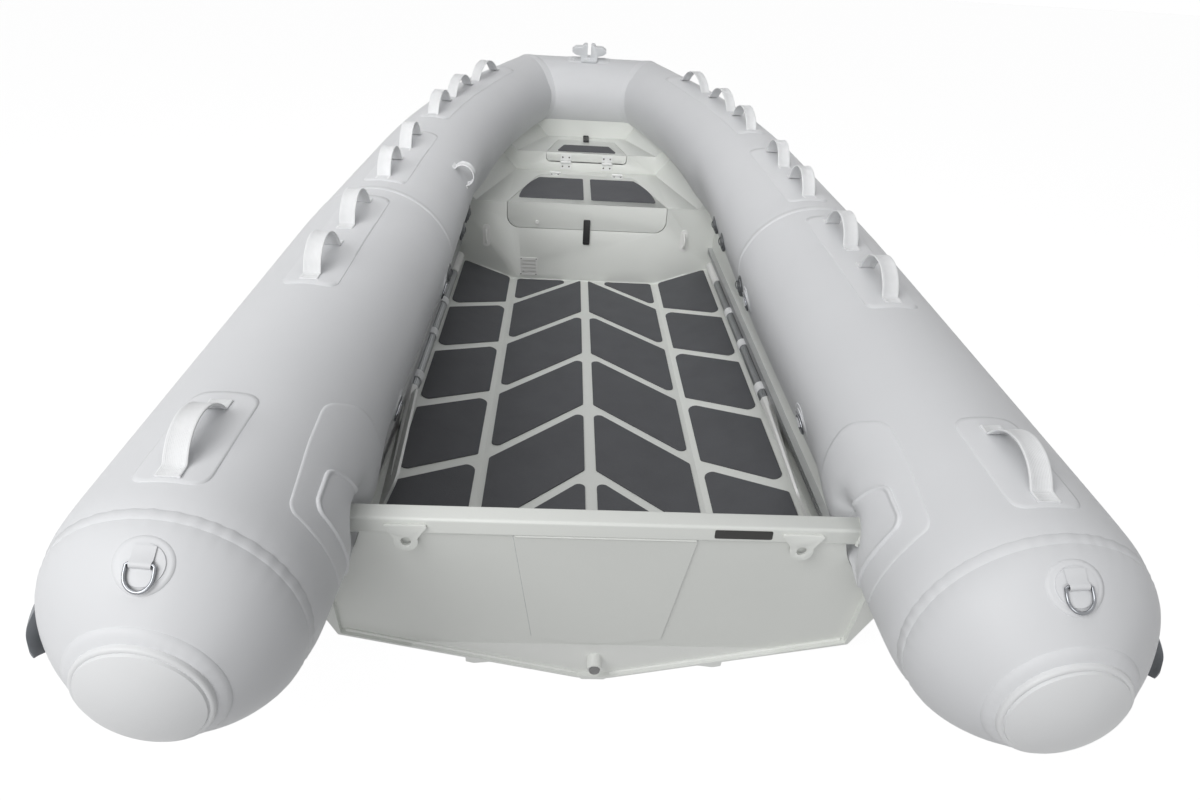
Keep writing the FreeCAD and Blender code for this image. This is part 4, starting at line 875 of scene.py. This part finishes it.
def layer(outline, centre, edge, rings, place):
    """Flat patch laid on a skin, from its centre out to its rim; place(at, lift) is a point there."""
    levels = [(i / rings, *edge[0]) for i in range(rings)] + [(1.0, *pair) for pair in edge]
    rows = []
    for share, inset, lift in levels:
        row = []
        for point in outline:
            rim = point + (centre - point).normalized() * inset
            row.append(place(centre + (rim - centre) * share, lift))
        rows.append(row)
    return grid(rows, around=True)


def skin_patch(side, corners, radius=0.03, edge=PATCH_EDGE, rings=14):
    """Patch on a side tube."""
    def place(at, lift):
        return fabric(side, at.x, at.y / tube_r(at.x), lift)

    flat = [Vector((y, radians(a) * tube_r(y))) for y, a in corners]
    outline = spread_outline(rounded_outline(flat, radius), 0.012)
    return layer(outline, sum(outline, Vector((0, 0))) / len(outline), edge, rings, place)


def bow_skin_patch():
    """Two layers of fabric under the fairlead, over the top of the bow tube."""
    def place(at, lift):
        return bow_point(at.x, pi / 2 + at.y / BOW_R, BOW_R + lift)

    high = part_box("bow_patch")[1]
    reach = asin(min((high[1] - BOW_Y) / BOW_R, 1.0))
    parts = []
    for half_x, half_turn, edge in ((high[0], reach, ((0.0016, 0.0018), (0.0, -TUCK))),
                                    (high[0] - 0.017, reach - 0.10, ((0.0016, 0.0034), (0.0, -0.0004)))):
        outline = spread_outline(rounded_outline(box_corners(half_x, half_turn * BOW_R), 0.024), 0.008)
        parts.append(layer(outline, Vector((0, 0)), edge, 10, place))
    return parts


def round_patch(place, radius, thick, rings=8, count=56):
    """Round patch; place(x, y, lift) gives a point on the skin."""
    rows = []
    for i in range(1, rings + 2):
        r = radius * min(i / rings, 1.0) + (0.0010 if i > rings else 0.0)
        lift = thick if i <= rings else -TUCK
        rows.append([place(r * cos(turn), r * sin(turn), lift) for turn in turns(count)])
    return grid(rows, around=True, capped=True)


def place_on_tube(side, y, degrees):
    def place(x, across, lift):
        angle = radians(degrees) + across / tube_r(y)
        return skin(side, y + x, angle, lift - hollow(y + x, angle))
    return place


def place_on_cone(side):
    """Place on the tapered end's D-ring patch: x runs aft down the flank."""
    length = sum((cone_profile((i + 1) / 40)[0] - cone_profile(i / 40)[0]).length for i in range(40))
    radius = cone_profile(CONE_RING_SHARE)[0].x

    def place(x, across, lift):
        return cone_point(side, CONE_RING_SHARE + x / length, CONE_RING_ANGLE + across / radius, lift)
    return place


def d_ring_fitting(place, forward_sign):
    """Patches, webbing tab and steel ring; the ring's bow points along the sign given."""
    def turned(x, across, lift):
        return place(x * forward_sign, across, lift)

    patches = [round_patch(turned, PATCH_R, 0.0012), round_patch(turned, PATCH_R * 0.72, 0.0030)]
    tab = [[turned(x, -TAB_HALF + 2 * TAB_HALF * k / 6, lift) for k in range(7)]
           for x, lift in ((-0.027, 0.0028), (-0.0265, 0.0050), (-0.007, 0.0058), (-0.002, 0.0102),
                           (0.002, 0.0108), (0.0055, 0.0088), (0.006, 0.0028))]
    spots = []
    for i in range(25):
        turn = -pi / 2 + pi * i / 24
        spots.append((RING_BACK + RING_HALF * cos(turn), RING_HALF * sin(turn)))
    spots += [(RING_BACK - 0.004, RING_HALF), (0.0015, RING_HALF - 0.001), (0.0, RING_HALF - RING_CORNER),
              (0.0, 0.0), (0.0, -RING_HALF + RING_CORNER), (0.0015, -RING_HALF + 0.001),
              (RING_BACK - 0.004, -RING_HALF)]
    path = [turned(x, across, RING_LIFT) for x, across in spots]
    out = (turned(0.01, 0, 0.02) - turned(0.01, 0, 0.0)).normalized()
    return patches, grid(tab), bar(path, RING_BAR / 2, out, closed=True, count=14)


# Webbing handles

def strap_section():
    """Flat webbing with a thicker, rounded rim along each edge."""
    half = WEB_WIDTH / 2
    thick = 0.0026
    rim = 0.0040
    top = [(0.0, thick / 2), (half - 0.0062, thick / 2), (half - 0.0050, rim / 2)]
    for i in range(5):
        turn = pi / 2 * i / 4
        top.append((half - 0.0018 + 0.0018 * sin(turn), rim / 2 * cos(turn)))
    right = top + [(a, -b) for a, b in reversed(top[:-1])]
    left = [(-a, b) for a, b in reversed(right)][1:-1]
    return right + left


def arch_spots(span, rise, feet, low, steps, squeeze=1.0):
    """(along, up) from foot to foot of a strap; feet are (distance out, up), the arch stays over low."""
    half = span / 2
    radius = (half * half + rise * rise) / (2 * rise)
    reach = atan2(half, radius - rise)
    spots = [(-half - out, up) for out, up in feet]
    for i in range(steps + 1):
        turn = -reach + 2 * reach * i / steps
        spots.append((radius * sin(turn) * squeeze, max(rise - radius + radius * cos(turn), low)))
    return spots + [(half + out, up) for out, up in reversed(feet)]


def handle(side, y, span, rise):
    """Strap arched over the top of a tube, and rows of stitches across its feet."""
    origin, ahead, across, out = skin_frame(side, y, radians(90.0))
    spots = arch_spots(span, rise, HANDLE_FEET, WEB_LIFT * 1.6, 32, 0.985)
    path = [origin + ahead * x + out * z for x, z in spots]
    stitches = []
    for sign in (-1, 1):
        for along in (0.006, 0.018):
            row = origin + ahead * sign * (span / 2 + along) + out * 0.0031
            for k in range(9):
                at = row + across * (k - 4) * STITCH_PITCH
                ends = [at - across * STITCH_HALF, at + across * STITCH_HALF]
                stitches.append(bar(ends, 0.00045, out, count=6))
    return grid(sweep(path, across, strap_section()), around=True, capped=True), stitches


def loop_strap():
    """Small strap loop round part of the port tube's inner side, its feet bent to the skin."""
    spots = arch_spots(LOOP_SPAN, LOOP_RISE, LOOP_FEET, 0.0026, 28)
    path = [skin(-1, LOOP_Y, LOOP_ANGLE + s / tube_r(LOOP_Y), lift) for s, lift in spots]
    return grid(sweep(path, mirrored(heading(LOOP_Y), -1), strap_section()), around=True, capped=True)


# Valves

def valve(side, y, degrees):
    angle = radians(degrees)
    origin, ahead, across, out = skin_frame(side, y, angle, 0.0004 - hollow(y, angle))
    ring = [(VALVE_R, -0.002), (VALVE_R, 0.0022), (VALVE_R - 0.0015, 0.0040), (VALVE_R - 0.006, 0.0052),
            (VALVE_R - 0.0085, 0.0046), (VALVE_R - 0.0095, 0.0020)]
    cap = [(0.0205, 0.0020), (0.0205, 0.0060), (0.0195, 0.0078), (0.0160, 0.0086), (0.0150, 0.0076),
           (0.0080, 0.0076), (0.0070, 0.0090), (0.0010, 0.0094)]

    def grips(height, turn):
        return 1.0 + (0.035 * cos(turn * 12) if 0.003 < height < 0.0082 else 0.0)

    tether = []
    for i in range(15):
        turn = pi * (-0.15 + 1.3 * i / 14)
        reach = VALVE_R + 0.010 * sin(turn) * 1.4
        swing = -0.9 + 1.1 * i / 14
        tether.append(origin + (ahead * cos(swing) - across * side * sin(swing)) * reach
                      + out * (0.003 + 0.004 * sin(turn)))
    return [lathe(ring, origin, out, 48), lathe(cap, origin, out, 72, grips), bar(tether, 0.0016, out)]


# Hull details

def transom_y(z):
    return 0.006 + (BEAM_FOOT_Z - z) * tan(TRANSOM_RAKE)


def weld(path, radius, side, pitch=0.0032):
    """Welded bead along a path, rippled by its overlapping pools."""
    fine = []
    for before, after in zip(path, path[1:]):
        steps = max(int((after - before).length / (pitch / 4)), 1)
        fine += [before + (after - before) * k / steps for k in range(steps)]
    fine.append(path[-1])
    rows = []
    for i, row in enumerate(sweep(fine, side, round_section(1.0, 8))):
        centre = fine[i]
        jitter = noise.noise(centre * 90) * 0.12
        swell = radius * (0.86 + 0.16 * (1 - (i % 4) / 4) + jitter)
        rows.append([centre + (p - centre) * swell for p in row])
    return grid(rows, around=True, capped=True)


def transom_welds():
    """Beads along the foot of the transom, up and over the beam's ends, and under the beam."""
    foot = [(x, transom_y(z) - 0.002, z)
            for x, z in ((KEEL_HALF + 0.002, KEEL_Z + 0.004), (CHINE_X - 0.012, CHINE_Z + 0.004))]
    up = ((0.4690, -0.0008, BEAM_FOOT_Z + 0.001), (0.4760, -0.0008, BEAM_TOP_Z - 0.002))
    over = ((0.4765, 0.003, BEAM_TOP_Z + 0.0006), (0.4800, BEAM_DEPTH - 0.004, BEAM_TOP_Z + 0.0006))
    parts = []
    for side, _ in SIDES:
        for path, across, pitch in ((foot, FORWARD, 0.0032), (up, STARBOARD, 0.006),
                                    (over, STARBOARD, 0.006)):
            parts.append(weld([Vector((side * x, y, z)) for x, y, z in path], 0.0042, across, pitch))
    under = [Vector((x, 0.0035, BEAM_FOOT_Z - 0.001)) for x in (-0.168, 0.168)]
    parts.append(weld(under, 0.0026, UP))
    return parts


def motor_plate_outline():
    """Thin grey bar along the edges of the raised motor plate, darker than the paint round it."""
    half = ((0.171, 0.349), (0.136, 0.030), (0.049, 0.010))
    corners = [(-x, z) for x, z in half] + list(reversed(half))
    down = Vector((0, sin(TRANSOM_RAKE), -cos(TRANSOM_RAKE)))
    path = [Vector((x, transom_y(z) - 0.0006, z)) for x, z in corners]
    return [bar([before, after], 0.0011, down.cross(after - before).normalized(), count=6)
            for before, after in zip(path, path[1:])]


def locker_edge_x(y):
    if y <= BOX_Y:
        t = (y - BULKHEAD_Y) / (BOX_Y - BULKHEAD_Y)
        return STEP_AFT_X + (BOX_HALF - STEP_AFT_X) * t
    t = (y - BOX_Y) / (BOW_EDGE_Y - BOX_Y)
    return BOX_HALF + (BOW_EDGE_X - BOX_HALF) * t


def flare_angle(y, floor_z):
    """Angle on the tube where the flared side of a locker top meets it."""
    edge = locker_edge_x(y)
    low, high = radians(150), radians(262)
    for _ in range(40):
        middle = (low + high) / 2
        at = skin(1, y, middle)
        if at.z - (floor_z + (at.x - edge) * FLARE_RISE / FLARE_RUN) > 0:
            low = middle
        else:
            high = middle
    return low


def flare_bead(side):
    """Sealing bead and tape where the tube lies on the flared sides of the locker tops."""
    spots = [(y, flare_angle(y, STEP_Z)) for y in [BULKHEAD_Y + 0.03 + 0.03 * i for i in range(18)]]
    spots += [(y, flare_angle(y, BOX_Z)) for y in [BOX_Y + 0.03 + 0.03 * i for i in range(10)]]
    bead = bar(smooth_path([skin(side, y, a, 0.0005) for y, a in spots], 3), 0.0032, UP)
    tape = []
    for i in range(len(spots) * 3 - 2):
        k, part = divmod(i, 3)
        y0, a0 = spots[k]
        y1, a1 = spots[min(k + 1, len(spots) - 1)]
        y = y0 + (y1 - y0) * part / 3
        a = a0 + (a1 - a0) * part / 3
        width = 0.034 / tube_r(y)
        tape.append([skin(side, y, a - share * width, lift) for share, lift in
                     ((-0.1, 0.001), (0.0, 0.0012), (0.5, 0.0012), (0.97, 0.0012), (1.0, -TUCK))])
    return bead, grid(tape)


def bolt(at, axis, radius=0.0036, height=0.0022):
    profile = [(radius, -TUCK), (radius, height * 0.55), (radius * 0.8, height * 0.9),
               (radius * 0.42, height), (radius * 0.40, height * 0.45)]
    return lathe(profile, at, axis, 18)


def leaf_bolts(x, y, z, axis):
    """Two bolts in each of a pair of leaves, x to either side."""
    return [bolt(Vector((sign * x + dx, y, z)), axis)
            for sign in (-1, 1) for dx in (-BOLT_APART, BOLT_APART)]


def hinge_bolts():
    """Bolts of the leaves that stay, of the step lid's leaves, and of the bow lid's."""
    top = STEP_Z + LEAF_THICK
    face = BOX_Y - LEAF_THICK
    fixed = leaf_bolts(STEP_LEAF_X, STEP_HINGE_Y + BOLT_REACH, top, UP)
    fixed += leaf_bolts(BOW_LEAF_X, face, BOW_HINGE_Z - BOLT_REACH, -FORWARD)
    return (fixed, leaf_bolts(STEP_LEAF_X, STEP_HINGE_Y - BOLT_REACH, top, UP),
            leaf_bolts(BOW_LEAF_X, face, BOW_HINGE_Z + BOLT_REACH, -FORWARD))


def vent_backing():
    """Pale mesh-backed panel just behind the vent's slats."""
    half = VENT_PANEL_HALF
    rows = []
    for i in range(9):
        z = VENT_AT[1] - half + 2 * half * i / 8
        row = []
        for k in range(9):
            y = BULKHEAD_Y + 0.0048 + 0.0012 * cos(pi * (k / 8 - 0.5))
            row.append(Vector((VENT_AT[0] - half + 2 * half * k / 8, y, z)))
        rows.append(row)
    return grid(rows)


def blank_plate():
    """Plain plate on the beam's aft face, its edges rounded."""
    outline = rounded_outline(box_corners(*PLATE_HALF), 0.0035, 5)
    rows = [[Vector((PLATE_AT[0] + p.x * scale, -lift, PLATE_AT[1] + p.y * scale)) for p in outline]
            for scale, lift in ((1.0, -0.0005), (1.0, 0.0007), (0.985, 0.0011), (0.6, 0.0011),
                                (0.2, 0.0011))]
    return grid(rows, around=True, capped=True)


def drain_painted_shade():
    """Dark disc set back in the mouth of the drain pipe: painted shade for the inside of the hole."""
    low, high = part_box("drain_pipe")
    radius = (high[0] - low[0]) / 2
    at = Vector(((low[0] + high[0]) / 2, low[1] + 0.0008, low[2] + radius))
    profile = [(radius * share, height) for share, height in
               ((0.70, -0.0022), (0.70, 0.0009), (0.66, 0.0012), (0.52, -0.0005), (0.10, -0.0012))]
    return lathe(profile, at, -FORWARD, 40)


def bulkhead_welds():
    """Bead along the foot of the bulkhead, over the deck and up its slopes."""
    path = []
    for x in (-0.44, -DECK_FOLD_X, DECK_FOLD_X, 0.44):
        z = DECK_Z + max(abs(x) - DECK_FOLD_X, 0.0) * DECK_SLOPE
        path.append(Vector((x, BULKHEAD_Y - 0.0008, z + 0.0012)))
    return weld(path, 0.0036, FORWARD, 0.006)


def vent_screws():
    dx, dz = VENT_SCREWS
    return [bolt(Vector((VENT_AT[0] + x, BULKHEAD_Y - 0.004, VENT_AT[1] + z)), -FORWARD, 0.0024, 0.0012)
            for x in (-dx, dx) for z in (-dz, dz)]


def fluted_shaft(side):
    """Aluminium oar shaft with lengthwise grooves."""
    rows = []
    for y in (SHAFT_Y[0] + 0.0004, SHAFT_Y[0] + 0.3, SHAFT_Y[0] + 0.6, SHAFT_Y[1] - 0.0004):
        row = []
        for turn in turns(FLUTES * 8):
            r = SHAFT_R - FLUTE_DEPTH * max(0.0, cos(turn * FLUTES))**2
            row.append(Vector((side * OAR_X + r * cos(turn), y, OAR_Z + r * sin(turn))))
        rows.append(row)
    return grid(rows, around=True, capped=True)


# Assembly: looks of the CAD nodes that show as they are

CARRIED = (
    (PAINT, ("hull_shell", "transom_plate", "motor_plate", "drain_pipe", "spray_rails", "keel_guard",
             "deck_plate", "latch_keepers")),
    (MAT, ("deck_mats_inner_starboard", "deck_mats_inner_port", "deck_mats_outer_starboard",
           "deck_mats_outer_port", "step_lid_mats", "bow_lid_mat")),
    (RAIL, ("side_rails",)),
    (WHITE_PLASTIC, ("vent_grille", "bulkhead_eyes", "oar_grips", "oar_blades", "step_lid_knob")),
    (WEBBING, ("oar_straps",)),
    (HINGE, ("step_hinge_leaves", "bow_hinge_leaves", "step_lid_hinges", "bow_lid_hinges")),
)

# CAD nodes shown with softer edges: look, slot, body, width of the rounding, and for a lid whether
# its rubber lip runs along its foot and along its forward edge
SOFTENED = (
    ("transom_beam", PAINT, "hull_paint", "boat", 0.0022, None),
    ("tow_eyes", PAINT, "hull_paint", "boat", 0.0014, None),
    ("bow_fairlead", GREY_PLASTIC, "grey_plastic", "boat", 0.0022, None),
    ("step_locker", PAINT, "hull_paint", "boat", 0.0018, None),
    ("bow_locker", PAINT, "hull_paint", "boat", 0.0018, None),
    ("step_lid", PAINT, "hull_paint", "step_lid", 0.0012, (True, False)),
    ("bow_lid", PAINT, "hull_paint", "bow_lid", 0.0012, (False, True)),
    ("step_latch", BLACK, "latch_rubber", "step_lid", 0.0008, None),
    ("bow_latch", BLACK, "latch_rubber", "bow_lid", 0.0008, None),
)


def dress_carried_nodes():
    for look, nodes in CARRIED:
        for node in nodes:
            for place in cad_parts[node].material_slots:
                place.material = look.material


def dress_tubes():
    for side, word in SIDES:
        side_tube(side, word)
        grid_piece("cone_%s_skin" % word, [tapered_end(side)], FABRIC, node="cone_" + word)
        fabric_piece("mitre_tape_" + word, [mitre_tape(side)])
        side_strake(side, word)
        fabric_piece("seam_tapes_" + word, [band(side, *tape) for tape in (SEAM_TAPE, CAP_TAPE, RING_TAPE)])
        patches = [skin_patch(side, corners) for corners in HANDLE_PATCHES]
        patches.append(skin_patch(side, TRANSOM_PATCH, rings=26))
        patches.append(skin_patch(side, TRANSOM_FLANGE, 0.02, FLANGE_EDGE, 22))
        fabric_piece("handle_patches_" + word, patches)
        bead, tape = flare_bead(side)
        grid_piece("flare_bead_" + word, [bead], PAINT)
        fabric_piece("flare_tape_" + word, [tape])
    bow_tube()
    bow_strake()
    fabric_piece("bow_patch_fabric", bow_skin_patch(), "bow_patch")
    grid_piece("end_caps_finished", [cap_parts(1), cap_parts(-1)], CAP, node="end_caps")


def dress_handles():
    for side, word in SIDES:
        straps, stitches = [], []
        for aft, span in HANDLES:
            rise = AFT_HANDLE_RISE if aft < 0 else HANDLE_RISE
            strap, seams = handle(side, aft + span / 2, span, rise)
            straps.append(strap)
            stitches += seams
        grid_piece("handles_%s_webbing" % word, straps, WEBBING, node="grab_handles_" + word)
        grid_piece("handle_stitches_" + word, stitches, WEBBING)
    grid_piece("loop_handle_webbing", [loop_strap()], WEBBING, node="loop_handle")


def dress_fittings():
    patches, tabs, rings, valves = [], [], [], []
    for side, _ in SIDES:
        places = [(place_on_tube(side, y, degrees), -1) for y, degrees in RING_PLACES]
        for place, sign in places + [(place_on_cone(side), 1)]:
            more, tab, ring = d_ring_fitting(place, sign)
            patches += more
            tabs.append(tab)
            rings.append(ring)
        for y, degrees in VALVES:
            valves += valve(side, y, degrees)
    fabric_piece("ring_patches_fabric", patches, "ring_patches")
    grid_piece("ring_tabs", tabs, PATCH, sharp=70)
    grid_piece("d_rings_polished", rings, STEEL, node="d_rings")
    grid_piece("valves_moulded", valves, VALVE, node="valves")


def dress_hull():
    for row in SOFTENED:
        softened(*row)
    grid_piece("transom_welds", transom_welds(), PAINT, sharp=75)
    # Thin grey bar that darkens the motor plate's outline
    grid_piece("motor_plate_dark_outline", motor_plate_outline(), STRAKE)
    fixed, on_step, on_bow = hinge_bolts()
    grid_piece("fixed_hinge_bolts", fixed, BOLT)
    grid_piece("step_hinge_bolts", on_step, BOLT, "step_lid")
    grid_piece("bow_hinge_bolts", on_bow, BOLT, "bow_lid")
    grid_piece("vent_screws", vent_screws(), BOLT)
    grid_piece("vent_panel", [vent_backing()], WHITE_PLASTIC)
    grid_piece("beam_plate", [blank_plate()], PLATE)
    # Dark disc of painted shade in the drain's mouth
    grid_piece("drain_painted_shade", [drain_painted_shade()], BLACK)
    grid_piece("bulkhead_weld", [bulkhead_welds()], PAINT, sharp=75)
    shafts = [fluted_shaft(1), fluted_shaft(-1)]
    grid_piece("oar_shafts_fluted", shafts, SHAFT, node="oar_shafts")


# Camera, light and floor

def add_camera():
    pitch, turn, roll = CAMERA_PITCH, CAMERA_HEADING, CAMERA_ROLL
    ahead = Vector((sin(turn) * cos(pitch), cos(turn) * cos(pitch), -sin(pitch)))
    level = Vector((cos(turn), -sin(turn), 0))
    above = level.cross(ahead)
    right = level * cos(roll) + above * sin(roll)
    up = above * cos(roll) - level * sin(roll)
    data = bpy.data.cameras.new("camera")
    data.sensor_width = SENSOR
    data.sensor_fit = "HORIZONTAL"
    data.lens = SENSOR * FOCAL_PX / FRAME_PX
    data.clip_start = 0.01
    made = add_object("camera", data)
    turned = Matrix((right, up, -ahead)).transposed().to_4x4()
    made.matrix_world = Matrix.Translation(CAMERA_AT) @ turned
    bpy.context.scene.camera = made


def add_softbox(name, at, target, width, depth, watts, spread):
    data = bpy.data.lights.new(name, "AREA")
    data.shape = "RECTANGLE"
    data.size = width
    data.size_y = depth
    data.energy = watts
    data.spread = radians(spread)
    made = add_object(name, data)
    made.location = at
    made.rotation_euler = (Vector(target) - Vector(at)).to_track_quat("-Z", "Y").to_euler()


def emptied_tree(owner):
    owner.use_nodes = True
    owner.node_tree.nodes.clear()
    return owner.node_tree


def add_world():
    """Soft light all round; seen straight, in a mirror or through glass, the backdrop is white."""
    world = bpy.data.worlds.new("studio")
    bpy.context.scene.world = world
    tree = emptied_tree(world)
    seen = add_node(tree, "Background", Color=(1, 1, 1, 1), Strength=1.0)
    soft = add_node(tree, "Background", Color=SKY_TINT, Strength=SKY_STRENGTH)
    path = add_node(tree, "LightPath")
    white = path.outputs["Is Camera Ray"]
    for ray in ("Is Glossy Ray", "Is Transmission Ray"):
        white = combined(tree, "MAXIMUM", white, path.outputs[ray])
    mix = add_node(tree, "MixShader")
    out = add_node(tree, "OutputWorld")
    link(tree, (white, mix.inputs["Fac"]), (soft.outputs[0], mix.inputs[1]),
         (seen.outputs[0], mix.inputs[2]), (mix.outputs[0], out.inputs["Surface"]))


def add_floor():
    """Pale floor at the waterline, clear enough to show the hull below it as shallow water does."""
    mesh = bpy.data.meshes.new("floor")
    mesh.from_pydata([(p.x, p.y, 0) for p in box_corners(FLOOR_HALF, FLOOR_HALF)], [], [(0, 1, 2, 3)])
    made = add_object("floor", mesh)
    look = bpy.data.materials.new("pale_floor")
    tree = emptied_tree(look)
    matt = add_node(tree, "BsdfDiffuse", Color=(1, 1, 1, 1))
    path = add_node(tree, "LightPath")
    lift = add_node(tree, "Math")
    lift.operation = "MULTIPLY"
    lift.inputs[1].default_value = FLOOR_LIFT
    glow = add_node(tree, "Emission")
    both = add_node(tree, "AddShader")
    clear = add_node(tree, "BsdfTransparent")
    mix = add_node(tree, "MixShader", Fac=FLOOR_MATT)
    out = add_node(tree, "OutputMaterial")
    link(tree, (path.outputs["Is Camera Ray"], lift.inputs[0]), (lift.outputs[0], glow.inputs["Strength"]),
         (matt.outputs[0], both.inputs[0]), (glow.outputs[0], both.inputs[1]),
         (clear.outputs[0], mix.inputs[1]), (both.outputs[0], mix.inputs[2]),
         (mix.outputs[0], out.inputs["Surface"]))
    mesh.materials.append(look)


dress_carried_nodes()
dress_tubes()
dress_handles()
dress_fittings()
dress_hull()
add_camera()
add_world()
for lamp in LAMPS:
    add_softbox(*lamp)
add_floor()
bpy.context.scene.view_settings.view_transform = "Standard"
